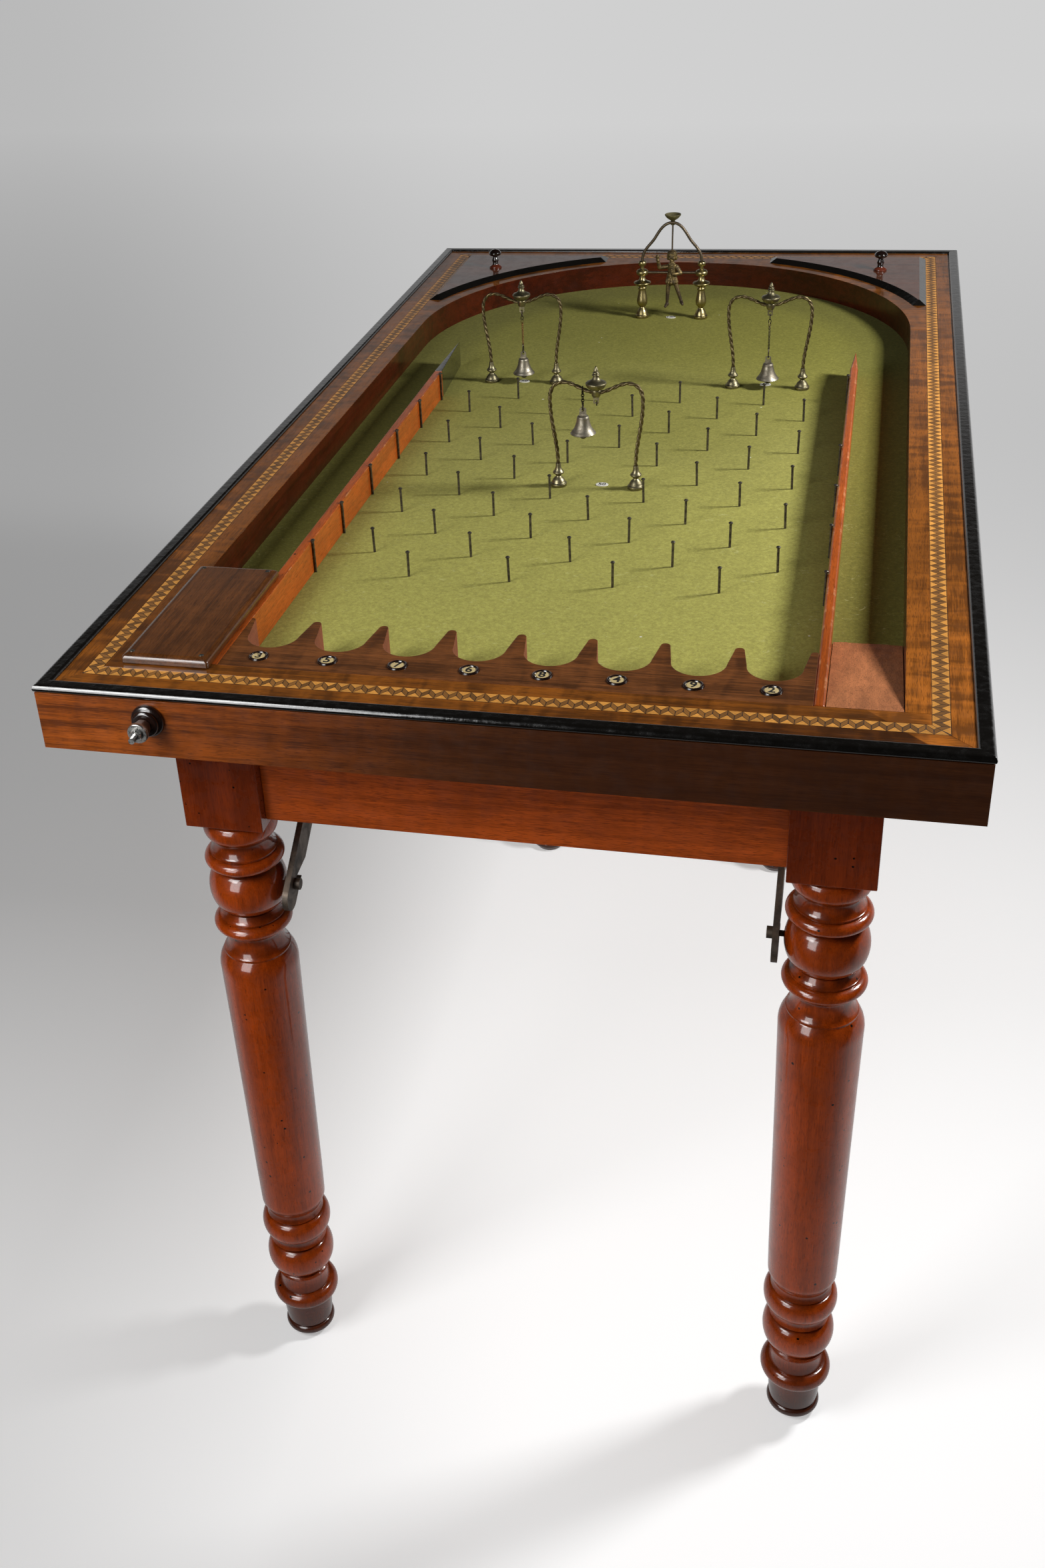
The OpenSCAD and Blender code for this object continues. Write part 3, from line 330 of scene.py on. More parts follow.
def tube(bm, path, radius, sides=12, closed=False):
    """Adds a round rod along a path; radius may be a list, one for each point."""
    path = [Vector(p) for p in path]
    count = len(path)
    radii = radius if isinstance(radius, (list, tuple)) else [radius] * count
    side = None
    rings = []
    for i, point in enumerate(path):
        after = path[(i + 1) % count] if closed or i < count - 1 else point
        before = path[i - 1] if closed or i > 0 else point
        along = (after - before).normalized()
        if side is None:
            side = along.orthogonal().normalized()
        side = (side - along * side.dot(along)).normalized()
        up = along.cross(side)
        ring = []
        for k in range(sides):
            a = 2 * math.pi * k / sides
            ring.append(bm.verts.new(point + radii[i] * (math.cos(a) * side + math.sin(a) * up)))
        rings.append(ring)
    pairs = list(zip(rings, rings[1:]))
    if closed:
        pairs.append((rings[-1], rings[0]))
    for low, high in pairs:
        for k in range(sides):
            m = (k + 1) % sides
            bm.faces.new((low[k], low[m], high[m], high[k]))
    if not closed:
        bm.faces.new(rings[0][::-1])
        bm.faces.new(rings[-1])
    return bm


def prism(bm, outline, z0, z1):
    """Adds an upright prism on a counterclockwise plan outline."""
    low = [bm.verts.new((x, y, z0)) for x, y in outline]
    high = [bm.verts.new((x, y, z1)) for x, y in outline]
    faces = [bm.faces.new(low[::-1]), bm.faces.new(high)]
    for k in range(len(outline)):
        m = (k + 1) % len(outline)
        faces.append(bm.faces.new((low[k], low[m], high[m], high[k])))
    return faces


def join_rings(bm, rings):
    """Adds faces from ring to ring of points, and closes the first and the last."""
    rows = [[bm.verts.new(point) for point in ring] for ring in rings]
    for below, above in zip(rows, rows[1:]):
        for k in range(len(below)):
            m = (k + 1) % len(below)
            bm.faces.new((below[k], below[m], above[m], above[k]))
    bm.faces.new(rows[0][::-1])
    bm.faces.new(rows[-1])
    return bm


def cad_copy(*nodes):
    """The frame's own solids as one clean mesh, in millimetres in the table's plan."""
    bm = bmesh.new()
    for node in nodes:
        bm.from_mesh(frame["nodes"][node].data)
    bm.transform(Matrix.Translation((0, -TABLE_Y, 0)) @ Matrix.Scale(1 / MM, 4))
    bmesh.ops.remove_doubles(bm, verts=bm.verts, dist=0.002)
    bmesh.ops.dissolve_limit(bm, angle_limit=math.radians(0.6), verts=bm.verts, edges=bm.edges)
    return bm


def round_edges(bm, width, least=28, segments=2):
    """Rounds the sharp edges, and marks the new narrow faces as worn edge."""
    bm.normal_update()
    layer = bm.faces.layers.float.get("edge") or bm.faces.layers.float.new("edge")
    sharp = [
        e for e in bm.edges
        if len(e.link_faces) == 2 and e.calc_face_angle(0) > math.radians(least)
    ]
    made = bmesh.ops.bevel(
        bm, geom=sharp, offset=width, segments=segments, profile=0.5, affect="EDGES", clamp_overlap=True,
    )
    for face in made["faces"]:
        face[layer] = 1.0
    return bm


def islands(bm):
    """The groups of vertices that hang together, one after another."""
    for v in bm.verts:
        v.tag = False
    for first in bm.verts:
        if first.tag:
            continue
        first.tag = True
        group, stack = [], [first]
        while stack:
            v = stack.pop()
            group.append(v)
            for e in v.link_edges:
                other = e.other_vert(v)
                if not other.tag:
                    other.tag = True
                    stack.append(other)
        yield group


def lay_grain(bm, seed, along=None):
    """Stores wood coordinates in metres: first along the grain, then across it, apart for each board."""
    layer = bm.verts.layers.float_vector.new("grain")
    draw = random.Random(seed)
    for group in islands(bm):
        size = [max(v.co[k] for v in group) - min(v.co[k] for v in group) for k in range(3)]
        first = "XYZ".index(along) if along else size.index(max(size))
        order = (first, (first + 1) % 3, (first + 2) % 3)
        shift = Vector((draw.uniform(0, 9), draw.uniform(0, 9), draw.uniform(0, 9)))
        for v in group:
            v[layer] = Vector([v.co[k] for k in order]) * MM + shift


def finish(bm, name, node, materials, replace=(), sharp=34, flat=False, grain=None, turned_in=False):
    """Turns the mesh into a finished piece that rides on the body of a frame node."""
    if turned_in:
        bmesh.ops.recalc_face_normals(bm, faces=bm.faces)
    bm.normal_update()
    for face in bm.faces:
        face.smooth = True
    for edge in bm.edges:
        edge.smooth = len(edge.link_faces) == 2 and edge.calc_face_angle(0) < math.radians(sharp)
    lay_grain(bm, name, grain)
    bm.transform(Matrix.Scale(MM, 4) @ Matrix.Translation((0, TABLE_Y, 0)))
    mesh = bpy.data.meshes.new(name)
    bm.to_mesh(mesh)
    bm.free()
    for material in materials:
        mesh.materials.append(material)
    piece = bpy.data.objects.new(name, mesh)
    bpy.context.scene.collection.objects.link(piece)
    if flat:
        weighted = piece.modifiers.new("Flat faces", "WEIGHTED_NORMAL")
        weighted.keep_sharp = True
    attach(piece, frame["nodes"][node]["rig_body"])
    if replace:
        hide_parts(*replace)
    return piece


# Node trees


def put(tree, kind, inputs=None, **settings):
    """Adds a node; an input's value may be another node's socket."""
    node = tree.nodes.new(kind)
    for key, value in settings.items():
        setattr(node, key, value)
    for key, value in (inputs or {}).items():
        if isinstance(value, bpy.types.NodeSocket):
            tree.links.new(value, node.inputs[key])
        else:
            node.inputs[key].default_value = value
    return node


def new_group(name, kind, inputs, outputs):
    tree = bpy.data.node_groups.new(name, kind)
    for label, socket in inputs:
        tree.interface.new_socket(label, in_out="INPUT", socket_type=socket)
    for label, socket in outputs:
        tree.interface.new_socket(label, in_out="OUTPUT", socket_type=socket)
    start = tree.nodes.new("NodeGroupInput")
    end = tree.nodes.new("NodeGroupOutput")
    return tree, start, end


def maths(tree, operation, a, b=0.0, c=0.0, clamp=False):
    node = put(tree, "ShaderNodeMath", {0: a, 1: b, 2: c}, operation=operation, use_clamp=clamp)
    return node.outputs[0]


def scaled(tree, vector, by):
    node = put(tree, "ShaderNodeVectorMath", {0: vector, 1: by}, operation="MULTIPLY")
    return node.outputs[0]


def grainy(tree, vector, scale, detail=2.0, distortion=0.0, rough=0.5):
    node = put(
        tree, "ShaderNodeTexNoise",
        {"Vector": vector, "Scale": scale, "Detail": detail, "Distortion": distortion, "Roughness": rough},
    )
    return node.outputs["Fac"]


def stepped(tree, value, low, high, to_low=0.0, to_high=1.0):
    """A soft step of a value, between two levels."""
    node = put(
        tree, "ShaderNodeMapRange",
        {"Value": value, "From Min": low, "From Max": high, "To Min": to_low, "To Max": to_high},
        interpolation_type="SMOOTHSTEP",
    )
    return node.outputs["Result"]


def ramp(tree, value, stops):
    node = put(tree, "ShaderNodeValToRGB", {"Fac": value})
    elements = node.color_ramp.elements
    while len(elements) < len(stops):
        elements.new(0.5)
    for element, (position, colour) in zip(elements, stops):
        element.position = position
        element.color = colour
    return node.outputs["Color"]


def blended(tree, share, a, b, blend="MIX"):
    node = tree.nodes.new("ShaderNodeMix")
    node.data_type = "RGBA"
    node.blend_type = blend
    for index, value in ((0, share), (6, a), (7, b)):
        if isinstance(value, bpy.types.NodeSocket):
            tree.links.new(value, node.inputs[index])
        else:
            node.inputs[index].default_value = value
    return node.outputs[2]


def mixed(colour, both, blue):
    """A colour with its red and green scaled by one factor and its blue by another."""
    return (colour[0] * both, colour[1] * both, colour[2] * blue, 1.0)


def shade(colour, factor):
    return tuple(c * factor for c in colour[:3]) + (1.0,)


def timber_group():
    """Streaks, pores and figure of wood from grain coordinates."""
    tree, start, end = new_group(
        "Timber grain", "ShaderNodeTree",
        [("Grain", "NodeSocketVector"), ("Figure", "NodeSocketFloat")],
        [("Tone", "NodeSocketFloat"), ("Pores", "NodeSocketFloat"), ("Height", "NodeSocketFloat")],
    )
    vector = start.outputs["Grain"]
    wide = grainy(tree, scaled(tree, vector, (2.0, 26.0, 26.0)), 1.0, 3.0, 1.0)
    streak = grainy(tree, scaled(tree, vector, (6.0, 190.0, 190.0)), 1.0, 4.0, 0.4, 0.6)
    fine = grainy(tree, scaled(tree, vector, (45.0, 1000.0, 1000.0)), 1.0, 3.0, 0.0, 0.6)
    cross = grainy(tree, scaled(tree, vector, (55.0, 16.0, 16.0)), 1.0, 2.0, 0.8)
    tone = maths(tree, "MULTIPLY_ADD", wide, 0.4, maths(tree, "MULTIPLY", streak, 0.42))
    tone = maths(tree, "MULTIPLY_ADD", fine, 0.38, maths(tree, "SUBTRACT", tone, 0.1))
    curl = maths(tree, "MULTIPLY", maths(tree, "SUBTRACT", cross, 0.5), start.outputs["Figure"])
    tone = maths(tree, "ADD", tone, curl)
    dashes = grainy(tree, scaled(tree, vector, (130.0, 1900.0, 1900.0)), 1.0, 1.0)
    pores = stepped(tree, dashes, 0.57, 0.66)
    tree.links.new(tone, end.inputs["Tone"])
    tree.links.new(pores, end.inputs["Pores"])
    tree.links.new(maths(tree, "MULTIPLY_ADD", pores, -0.6, fine), end.inputs["Height"])
    return tree


def worm_group():
    """Small round holes scattered over the wood."""
    tree, start, end = new_group(
        "Worm holes", "ShaderNodeTree",
        [("Place", "NodeSocketVector"), ("Spacing", "NodeSocketFloat"), ("Share", "NodeSocketFloat")],
        [("Holes", "NodeSocketFloat")],
    )
    per_metre = maths(tree, "DIVIDE", 1.0, start.outputs["Spacing"])
    cells = put(
        tree, "ShaderNodeTexVoronoi",
        {"Vector": start.outputs["Place"], "Scale": per_metre, "Randomness": 1.0},
    )
    apart = maths(tree, "MULTIPLY", cells.outputs["Distance"], start.outputs["Spacing"])
    draw = put(tree, "ShaderNodeSeparateColor", {"Color": cells.outputs["Color"]})
    size = maths(tree, "MULTIPLY_ADD", draw.outputs["Green"], 0.0007, 0.0006)
    hole = maths(tree, "LESS_THAN", apart, size)
    chosen = maths(tree, "LESS_THAN", draw.outputs["Red"], start.outputs["Share"])
    tree.links.new(maths(tree, "MULTIPLY", hole, chosen), end.inputs["Holes"])
    return tree


def rub_group():
    """Patchy wear where the piece's edge attribute is set."""
    tree, start, end = new_group(
        "Edge rub", "ShaderNodeTree",
        [("Place", "NodeSocketVector"), ("Amount", "NodeSocketFloat")],
        [("Rubbed", "NodeSocketFloat")],
    )
    edge = put(tree, "ShaderNodeAttribute", attribute_name="edge").outputs["Fac"]
    patches = grainy(tree, start.outputs["Place"], 55.0, 4.0, 0.0, 0.7)
    low = maths(tree, "SUBTRACT", 0.78, maths(tree, "MULTIPLY", start.outputs["Amount"], 0.5))
    over = put(tree, "ShaderNodeMapRange", {"Value": patches, "From Min": low, "From Max": 0.8})
    tree.links.new(maths(tree, "MULTIPLY", over.outputs["Result"], edge, clamp=True), end.inputs["Rubbed"])
    return tree


def patina_group():
    """Blotches and fine stains of old metal or polish."""
    tree, start, end = new_group(
        "Patina", "ShaderNodeTree",
        [("Place", "NodeSocketVector"), ("Size", "NodeSocketFloat")],
        [("Blotch", "NodeSocketFloat"), ("Stain", "NodeSocketFloat")],
    )
    per_metre = maths(tree, "DIVIDE", 1.0, start.outputs["Size"])
    blotch = grainy(tree, start.outputs["Place"], per_metre, 4.0, 0.6, 0.6)
    stain = grainy(tree, start.outputs["Place"], maths(tree, "MULTIPLY", per_metre, 7.0), 3.0, 0.0, 0.6)
    tree.links.new(stepped(tree, blotch, 0.35, 0.65), end.inputs["Blotch"])
    tree.links.new(stepped(tree, stain, 0.4, 0.7), end.inputs["Stain"])
    return tree


TIMBER = timber_group()
WORM = worm_group()
RUB = rub_group()
PATINA = patina_group()


def blank(name):
    """A new material, with its tree, its shader and the place on the piece."""
    material = bpy.data.materials.new(name)
    material.use_nodes = True
    tree = material.node_tree
    shader = tree.nodes["Principled BSDF"]
    place = tree.nodes.new("ShaderNodeTexCoord").outputs["Object"]
    return material, tree, shader, place


def set_bump(tree, shader, height, strength, distance):
    bump = put(tree, "ShaderNodeBump", {"Height": height, "Strength": strength, "Distance": distance})
    tree.links.new(bump.outputs["Normal"], shader.inputs["Normal"])


def wood(
    name, mid, spread=0.5, figure=0.15, rough=0.34, coat=0.6, rub=None, worm=0.0, hollow=0.0, extra=None,
):
    """A polished wood: its mid colour and tones, figure, gloss, rubbed edges, worm holes and grime."""
    material, tree, shader, place = blank(name)
    grain = put(tree, "ShaderNodeAttribute", attribute_name="grain").outputs["Vector"]
    timber = put(tree, "ShaderNodeGroup", {}, node_tree=TIMBER)
    tree.links.new(grain, timber.inputs["Grain"])
    timber.inputs["Figure"].default_value = figure
    dark, light = shade(mid, 1 - spread), shade(mid, 1 + spread * 0.9)
    colour = ramp(tree, timber.outputs["Tone"], ((0.4, dark), (0.5, mid), (0.61, light)))
    colour = blended(tree, maths(tree, "MULTIPLY", timber.outputs["Pores"], 0.6), colour, shade(mid, 0.3))
    patina = put(tree, "ShaderNodeGroup", {"Place": place, "Size": 0.09}, node_tree=PATINA)
    colour = blended(tree, maths(tree, "MULTIPLY", patina.outputs["Blotch"], 0.3), colour, shade(mid, 0.5))
    if extra:
        colour = extra(tree, place, colour)
    if hollow:
        grime = put(tree, "ShaderNodeAttribute", attribute_name="hollow").outputs["Fac"]
        dusty = grainy(tree, place, 70.0, 4.0)
        grime = maths(
            tree, "MULTIPLY", maths(tree, "MULTIPLY", grime, stepped(tree, dusty, 0.2, 0.6)), hollow,
        )
        colour = blended(tree, grime, colour, shade(mid, 0.22))
    if rub:
        rubbed = put(
            tree, "ShaderNodeGroup", {"Place": place, "Amount": 0.5}, node_tree=RUB,
        ).outputs["Rubbed"]
        colour = blended(tree, rubbed, colour, rub)
    height = timber.outputs["Height"]
    if worm:
        holes = put(
            tree, "ShaderNodeGroup", {"Place": place, "Spacing": 0.011, "Share": worm}, node_tree=WORM,
        ).outputs["Holes"]
        # Each hole is painted near black, the painted shade inside the hole, and the bump sinks it.
        colour = blended(tree, holes, colour, paint(20, 9, 5))
        height = maths(tree, "MULTIPLY_ADD", holes, -6.0, height)
    tree.links.new(colour, shader.inputs["Base Color"])
    dull = maths(tree, "MULTIPLY_ADD", patina.outputs["Stain"], 0.14, rough)
    tree.links.new(dull, shader.inputs["Roughness"])
    shader.inputs["Specular IOR Level"].default_value = 0.14
    shader.inputs["Coat Weight"].default_value = coat
    shader.inputs["Coat Roughness"].default_value = 0.1
    set_bump(tree, shader, height, 0.2, 0.0001)
    return material


def metal(name, colour, tarnish, rough=0.3, share=0.5, size=0.012, shine=1.0, extra=None):
    """Worn metal: bright colour, tarnish colour, and the share and size of its blotches."""
    material, tree, shader, place = blank(name)
    patina = put(tree, "ShaderNodeGroup", {"Place": place, "Size": size}, node_tree=PATINA)
    spoiled = maths(tree, "MULTIPLY_ADD", patina.outputs["Stain"], 0.35, patina.outputs["Blotch"])
    base = blended(tree, maths(tree, "MULTIPLY", spoiled, share, clamp=True), colour, tarnish)
    if extra:
        base = extra(tree, place, base)
    tree.links.new(base, shader.inputs["Base Color"])
    tree.links.new(maths(tree, "MULTIPLY_ADD", spoiled, 0.15, rough), shader.inputs["Roughness"])
    shader.inputs["Metallic"].default_value = shine
    set_bump(tree, shader, patina.outputs["Stain"], 0.05, 0.0001)
    return material


def plain(name, colour, rough, coat=0.0, dirt=0.3, size=0.02):
    """A painted, bone or horn finish with a little dirt."""
    material, tree, shader, place = blank(name)
    patina = put(tree, "ShaderNodeGroup", {"Place": place, "Size": size}, node_tree=PATINA)
    stained = maths(tree, "MULTIPLY", patina.outputs["Stain"], dirt)
    tree.links.new(blended(tree, stained, colour, shade(colour, 0.45)), shader.inputs["Base Color"])
    tree.links.new(
        maths(tree, "MULTIPLY_ADD", patina.outputs["Blotch"], 0.12, rough), shader.inputs["Roughness"],
    )
    shader.inputs["Coat Weight"].default_value = coat
    shader.inputs["Coat Roughness"].default_value = 0.08
    set_bump(tree, shader, patina.outputs["Stain"], 0.1, 0.0001)
    return material


def ebony(name, colour):
    """Ebonised polish with chipped, rubbed edges."""
    material, tree, shader, place = blank(name)
    patina = put(tree, "ShaderNodeGroup", {"Place": place, "Size": 0.05}, node_tree=PATINA)
    base = blended(tree, maths(tree, "MULTIPLY", patina.outputs["Blotch"], 0.4), colour, shade(colour, 1.5))
    rubbed = put(tree, "ShaderNodeGroup", {"Place": place, "Amount": 0.3}, node_tree=RUB).outputs["Rubbed"]
    tree.links.new(blended(tree, rubbed, base, paint(120, 84, 44)), shader.inputs["Base Color"])
    tree.links.new(
        maths(tree, "MULTIPLY_ADD", patina.outputs["Stain"], 0.12, 0.16), shader.inputs["Roughness"],
    )
    shader.inputs["Coat Weight"].default_value = 1.0
    shader.inputs["Coat Roughness"].default_value = 0.05
    ripple = grainy(tree, place, 130.0, 3.0)
    set_bump(tree, shader, ripple, 0.4, 0.001)
    return material


def cloth_material(name, colour):
    """Worn baize: fibres, rubbed pale flecks, and a darker band in the lanes and along the arch fence."""
    material, tree, shader, place = blank(name)
    nap = grainy(tree, place, 1100.0, 3.0, 0.0, 0.7)
    clumps = grainy(tree, place, 330.0, 5.0, 0.4, 0.7)
    fade = grainy(tree, place, 7.0, 3.0, 0.5)
    tone = maths(tree, "MULTIPLY_ADD", clumps, 0.6, maths(tree, "MULTIPLY", nap, 0.4))
    spot = put(tree, "ShaderNodeSeparateXYZ", {0: place})
    worn = stepped(tree, maths(tree, "MULTIPLY_ADD", fade, -0.5, spot.outputs[1]), 0.25, -0.8)
    beyond = maths(tree, "MAXIMUM", maths(tree, "SUBTRACT", spot.outputs[1], (ARCH_Y + TABLE_Y) * MM), 0.0)
    off = put(tree, "ShaderNodeCombineXYZ", {0: spot.outputs[0], 1: beyond})
    off = put(tree, "ShaderNodeVectorMath", {0: off.outputs[0]}, operation="LENGTH").outputs["Value"]
    inside = stepped(tree, off, 0.195, 0.242, 1.0, 0.0)
    middle = ramp(
        tree, worn, ((0.0, mixed(colour, 0.74, 0.5)), (0.5, colour), (1.0, mixed(colour, 1.3, 1.25))),
    )
    middle = blended(tree, inside, mixed(colour, 0.58, 0.42), middle)
    body = blended(tree, stepped(tree, tone, 0.34, 0.66), shade(colour, 0.66), shade(colour, 1.06))
    body = blended(tree, 1.0, blended(tree, 1.0, body, shade(colour, 1.0), "DIVIDE"), middle, "MULTIPLY")
    body = blended(tree, stepped(tree, tone, 0.56, 0.68, 0.0, 0.16), body, paint(205, 203, 140))
    scuffs = grainy(tree, scaled(tree, place, (70.0, 110.0, 70.0)), 1.0, 6.0, 1.8, 0.75)
    torn = maths(
        tree, "MULTIPLY", stepped(tree, scuffs, 0.6, 0.68), stepped(tree, worn, 0.3, 0.95, 0.03, 0.4),
    )
    body = blended(tree, torn, body, paint(206, 204, 146))
    threads = grainy(tree, scaled(tree, place, (170.0, 480.0, 170.0)), 1.0, 3.0, 1.8, 0.6)
    threads = maths(
        tree, "MULTIPLY", stepped(tree, threads, 0.63, 0.7), stepped(tree, worn, 0.2, 0.9, 0.05, 0.25),
    )
    body = blended(tree, threads, body, paint(204, 200, 122))
    specks = put(
        tree, "ShaderNodeGroup", {"Place": place, "Spacing": 0.026, "Share": 0.2}, node_tree=WORM,
    ).outputs["Holes"]
    body = blended(tree, specks, body, paint(205, 203, 178))
    tree.links.new(body, shader.inputs["Base Color"])
    shader.inputs["Roughness"].default_value = 0.95
    shader.inputs["Specular IOR Level"].default_value = 0.15
    shader.inputs["Sheen Weight"].default_value = 0.03
    shader.inputs["Sheen Roughness"].default_value = 0.5
    set_bump(tree, shader, tone, 0.4, 0.0009)
    return material


def tile_material(name, light, brown):
    """Inlay tiles; each tile's own shade comes from its attributes."""
    material, tree, shader, place = blank(name)
    kind = put(tree, "ShaderNodeAttribute", attribute_name="kind").outputs["Fac"]
    chance = put(tree, "ShaderNodeAttribute", attribute_name="chance").outputs["Fac"]
    pale = blended(tree, chance, shade(light, 0.8), shade(light, 1.12))
    tan = blended(tree, chance, shade(brown, 0.62), shade(brown, 1.25))
    colour = blended(tree, kind, pale, tan)
    fibre = grainy(tree, scaled(tree, place, (500.0, 1500.0, 500.0)), 1.0, 3.0)
    colour = blended(tree, stepped(tree, fibre, 0.35, 0.7, 0.0, 0.35), colour, shade(brown, 0.6))
    tree.links.new(colour, shader.inputs["Base Color"])
    shader.inputs["Roughness"].default_value = 0.4
    shader.inputs["Coat Weight"].default_value = 0.35
    shader.inputs["Coat Roughness"].default_value = 0.15
    set_bump(tree, shader, fibre, 0.15, 0.0001)
    return material


def set_out_tree():
    """Geometry nodes that set a unit piece on every point, with a turn and a small random lean."""
    tree, start, end = new_group(
        "Set out on points", "GeometryNodeTree",
        [("Points", "NodeSocketGeometry"), ("Unit", "NodeSocketObject"), ("Turn", "NodeSocketFloat"),
         ("Lean", "NodeSocketFloat"), ("Seed", "NodeSocketInt"), ("Finish", "NodeSocketMaterial")],
        [("Pieces", "NodeSocketGeometry")],
    )
    unit = put(tree, "GeometryNodeObjectInfo", {"Object": start.outputs["Unit"]})
    step = maths(tree, "MULTIPLY", put(tree, "GeometryNodeInputIndex").outputs[0], start.outputs["Turn"])
    lean = put(tree, "FunctionNodeRandomValue", {}, data_type="FLOAT")
    less = maths(tree, "MULTIPLY", start.outputs["Lean"], -1.0)
    tree.links.new(less, lean.inputs[2])
    tree.links.new(start.outputs["Lean"], lean.inputs[3])
    tree.links.new(start.outputs["Seed"], lean.inputs["Seed"])
    other = put(tree, "FunctionNodeRandomValue", {}, data_type="FLOAT")
    tree.links.new(less, other.inputs[2])
    tree.links.new(start.outputs["Lean"], other.inputs[3])
    tree.links.new(maths(tree, "ADD", start.outputs["Seed"], 7.0), other.inputs["Seed"])
    turn_by = put(tree, "ShaderNodeCombineXYZ", {0: lean.outputs[1], 1: other.outputs[1], 2: step})
    rotation = put(tree, "FunctionNodeEulerToRotation", {0: turn_by.outputs[0]})
    onto = put(
        tree, "GeometryNodeInstanceOnPoints",
        {
            "Points": start.outputs["Points"], "Instance": unit.outputs["Geometry"],
            "Rotation": rotation.outputs[0],
        },
    )
    real = put(tree, "GeometryNodeRealizeInstances", {0: onto.outputs[0]})
    painted = put(
        tree, "GeometryNodeSetMaterial", {"Geometry": real.outputs[0], "Material": start.outputs["Finish"]},
    )
    tree.links.new(painted.outputs[0], end.inputs["Pieces"])
    return tree


def strand_tree():
    """Geometry nodes that twist two strands round a curve."""
    tree, start, end = new_group(
        "Two-strand wire", "GeometryNodeTree",
        [("Path", "NodeSocketGeometry"), ("Strand Radius", "NodeSocketFloat"), ("Offset", "NodeSocketFloat"),
         ("Twist", "NodeSocketFloat"), ("Step", "NodeSocketFloat"), ("Finish", "NodeSocketMaterial")],
        [("Wire", "NodeSocketGeometry")],
    )
    curve = put(tree, "GeometryNodeMeshToCurve", {"Mesh": start.outputs["Path"]})
    even = put(
        tree, "GeometryNodeResampleCurve",
        {"Curve": curve.outputs[0], "Length": start.outputs["Step"]}, mode="LENGTH",
    )
    tangent = put(tree, "GeometryNodeInputTangent").outputs[0]
    run = put(tree, "GeometryNodeSplineParameter").outputs["Length"]
    side = put(
        tree, "ShaderNodeVectorMath", {0: tangent, 1: (0.0, 1.0, 0.0)}, operation="CROSS_PRODUCT",
    ).outputs[0]
    round_about = maths(tree, "DIVIDE", maths(tree, "MULTIPLY", run, 2 * math.pi), start.outputs["Twist"])
    joined = tree.nodes.new("GeometryNodeJoinGeometry")
    section = put(
        tree, "GeometryNodeCurvePrimitiveCircle",
        {"Resolution": 8, "Radius": start.outputs["Strand Radius"]},
    )
    for phase in (0.0, math.pi):
        angle = maths(tree, "ADD", round_about, phase)
        out = put(tree, "ShaderNodeVectorMath", {0: side}, operation="SCALE")
        tree.links.new(maths(tree, "COSINE", angle), out.inputs["Scale"])
        across = put(tree, "ShaderNodeCombineXYZ", {1: maths(tree, "SINE", angle)})
        both = put(tree, "ShaderNodeVectorMath", {0: out.outputs[0], 1: across.outputs[0]}, operation="ADD")
        offset = put(tree, "ShaderNodeVectorMath", {0: both.outputs[0]}, operation="SCALE")
        tree.links.new(start.outputs["Offset"], offset.inputs["Scale"])
        moved = put(
            tree, "GeometryNodeSetPosition", {"Geometry": even.outputs[0], "Offset": offset.outputs[0]},
        )
        strand = put(
            tree, "GeometryNodeCurveToMesh",
            {"Curve": moved.outputs[0], "Profile Curve": section.outputs[0], "Fill Caps": True},
        )
        tree.links.new(strand.outputs[0], joined.inputs[0])
    real = put(tree, "GeometryNodeRealizeInstances", {0: joined.outputs[0]})
    painted = put(
        tree, "GeometryNodeSetMaterial", {"Geometry": real.outputs[0], "Material": start.outputs["Finish"]},
    )
    tree.links.new(painted.outputs[0], end.inputs["Wire"])
    return tree


SET_OUT = set_out_tree()
STRANDS = strand_tree()


def grown(tree, points, edges, values):
    """Runs a tree on points and edges, and gives the result as a mesh in millimetres."""
    mesh = bpy.data.meshes.new("setting out")
    mesh.from_pydata([tuple(p) for p in points], edges, [])
    source = bpy.data.objects.new("setting out", mesh)
    bpy.context.scene.collection.objects.link(source)
    modifier = source.modifiers.new("Growth", "NODES")
    modifier.node_group = tree
    for item in tree.interface.items_tree:
        if item.item_type == "SOCKET" and item.in_out == "INPUT" and item.name in values:
            modifier[item.identifier] = values[item.name]
    evaluated = source.evaluated_get(bpy.context.evaluated_depsgraph_get())
    result = bpy.data.meshes.new_from_object(evaluated)
    source.modifiers.remove(modifier)
    bpy.data.objects.remove(source)
    bm = bmesh.new()
    bm.from_mesh(result)
    for face in bm.faces:
        face.material_index = 0
    return bm


def set_out(unit, points, finish_with, turn_step=0.0, lean=0.0, seed=1):
    """Copies of a unit mesh on points."""
    mesh = bpy.data.meshes.new("unit")
    unit.to_mesh(mesh)
    unit.free()
    thing = bpy.data.objects.new("unit", mesh)
    bpy.context.scene.collection.objects.link(thing)
    values = {"Unit": thing, "Turn": turn_step, "Lean": lean, "Seed": seed, "Finish": finish_with}
    bm = grown(SET_OUT, points, [], values)
    bpy.data.objects.remove(thing)
    return bm


def merged(*meshes):
    """Several meshes as one."""
    whole = meshes[0]
    for bm in meshes[1:]:
        mesh = bpy.data.meshes.new("part")
        bm.to_mesh(mesh)
        bm.free()
        whole.from_mesh(mesh)
    return whole


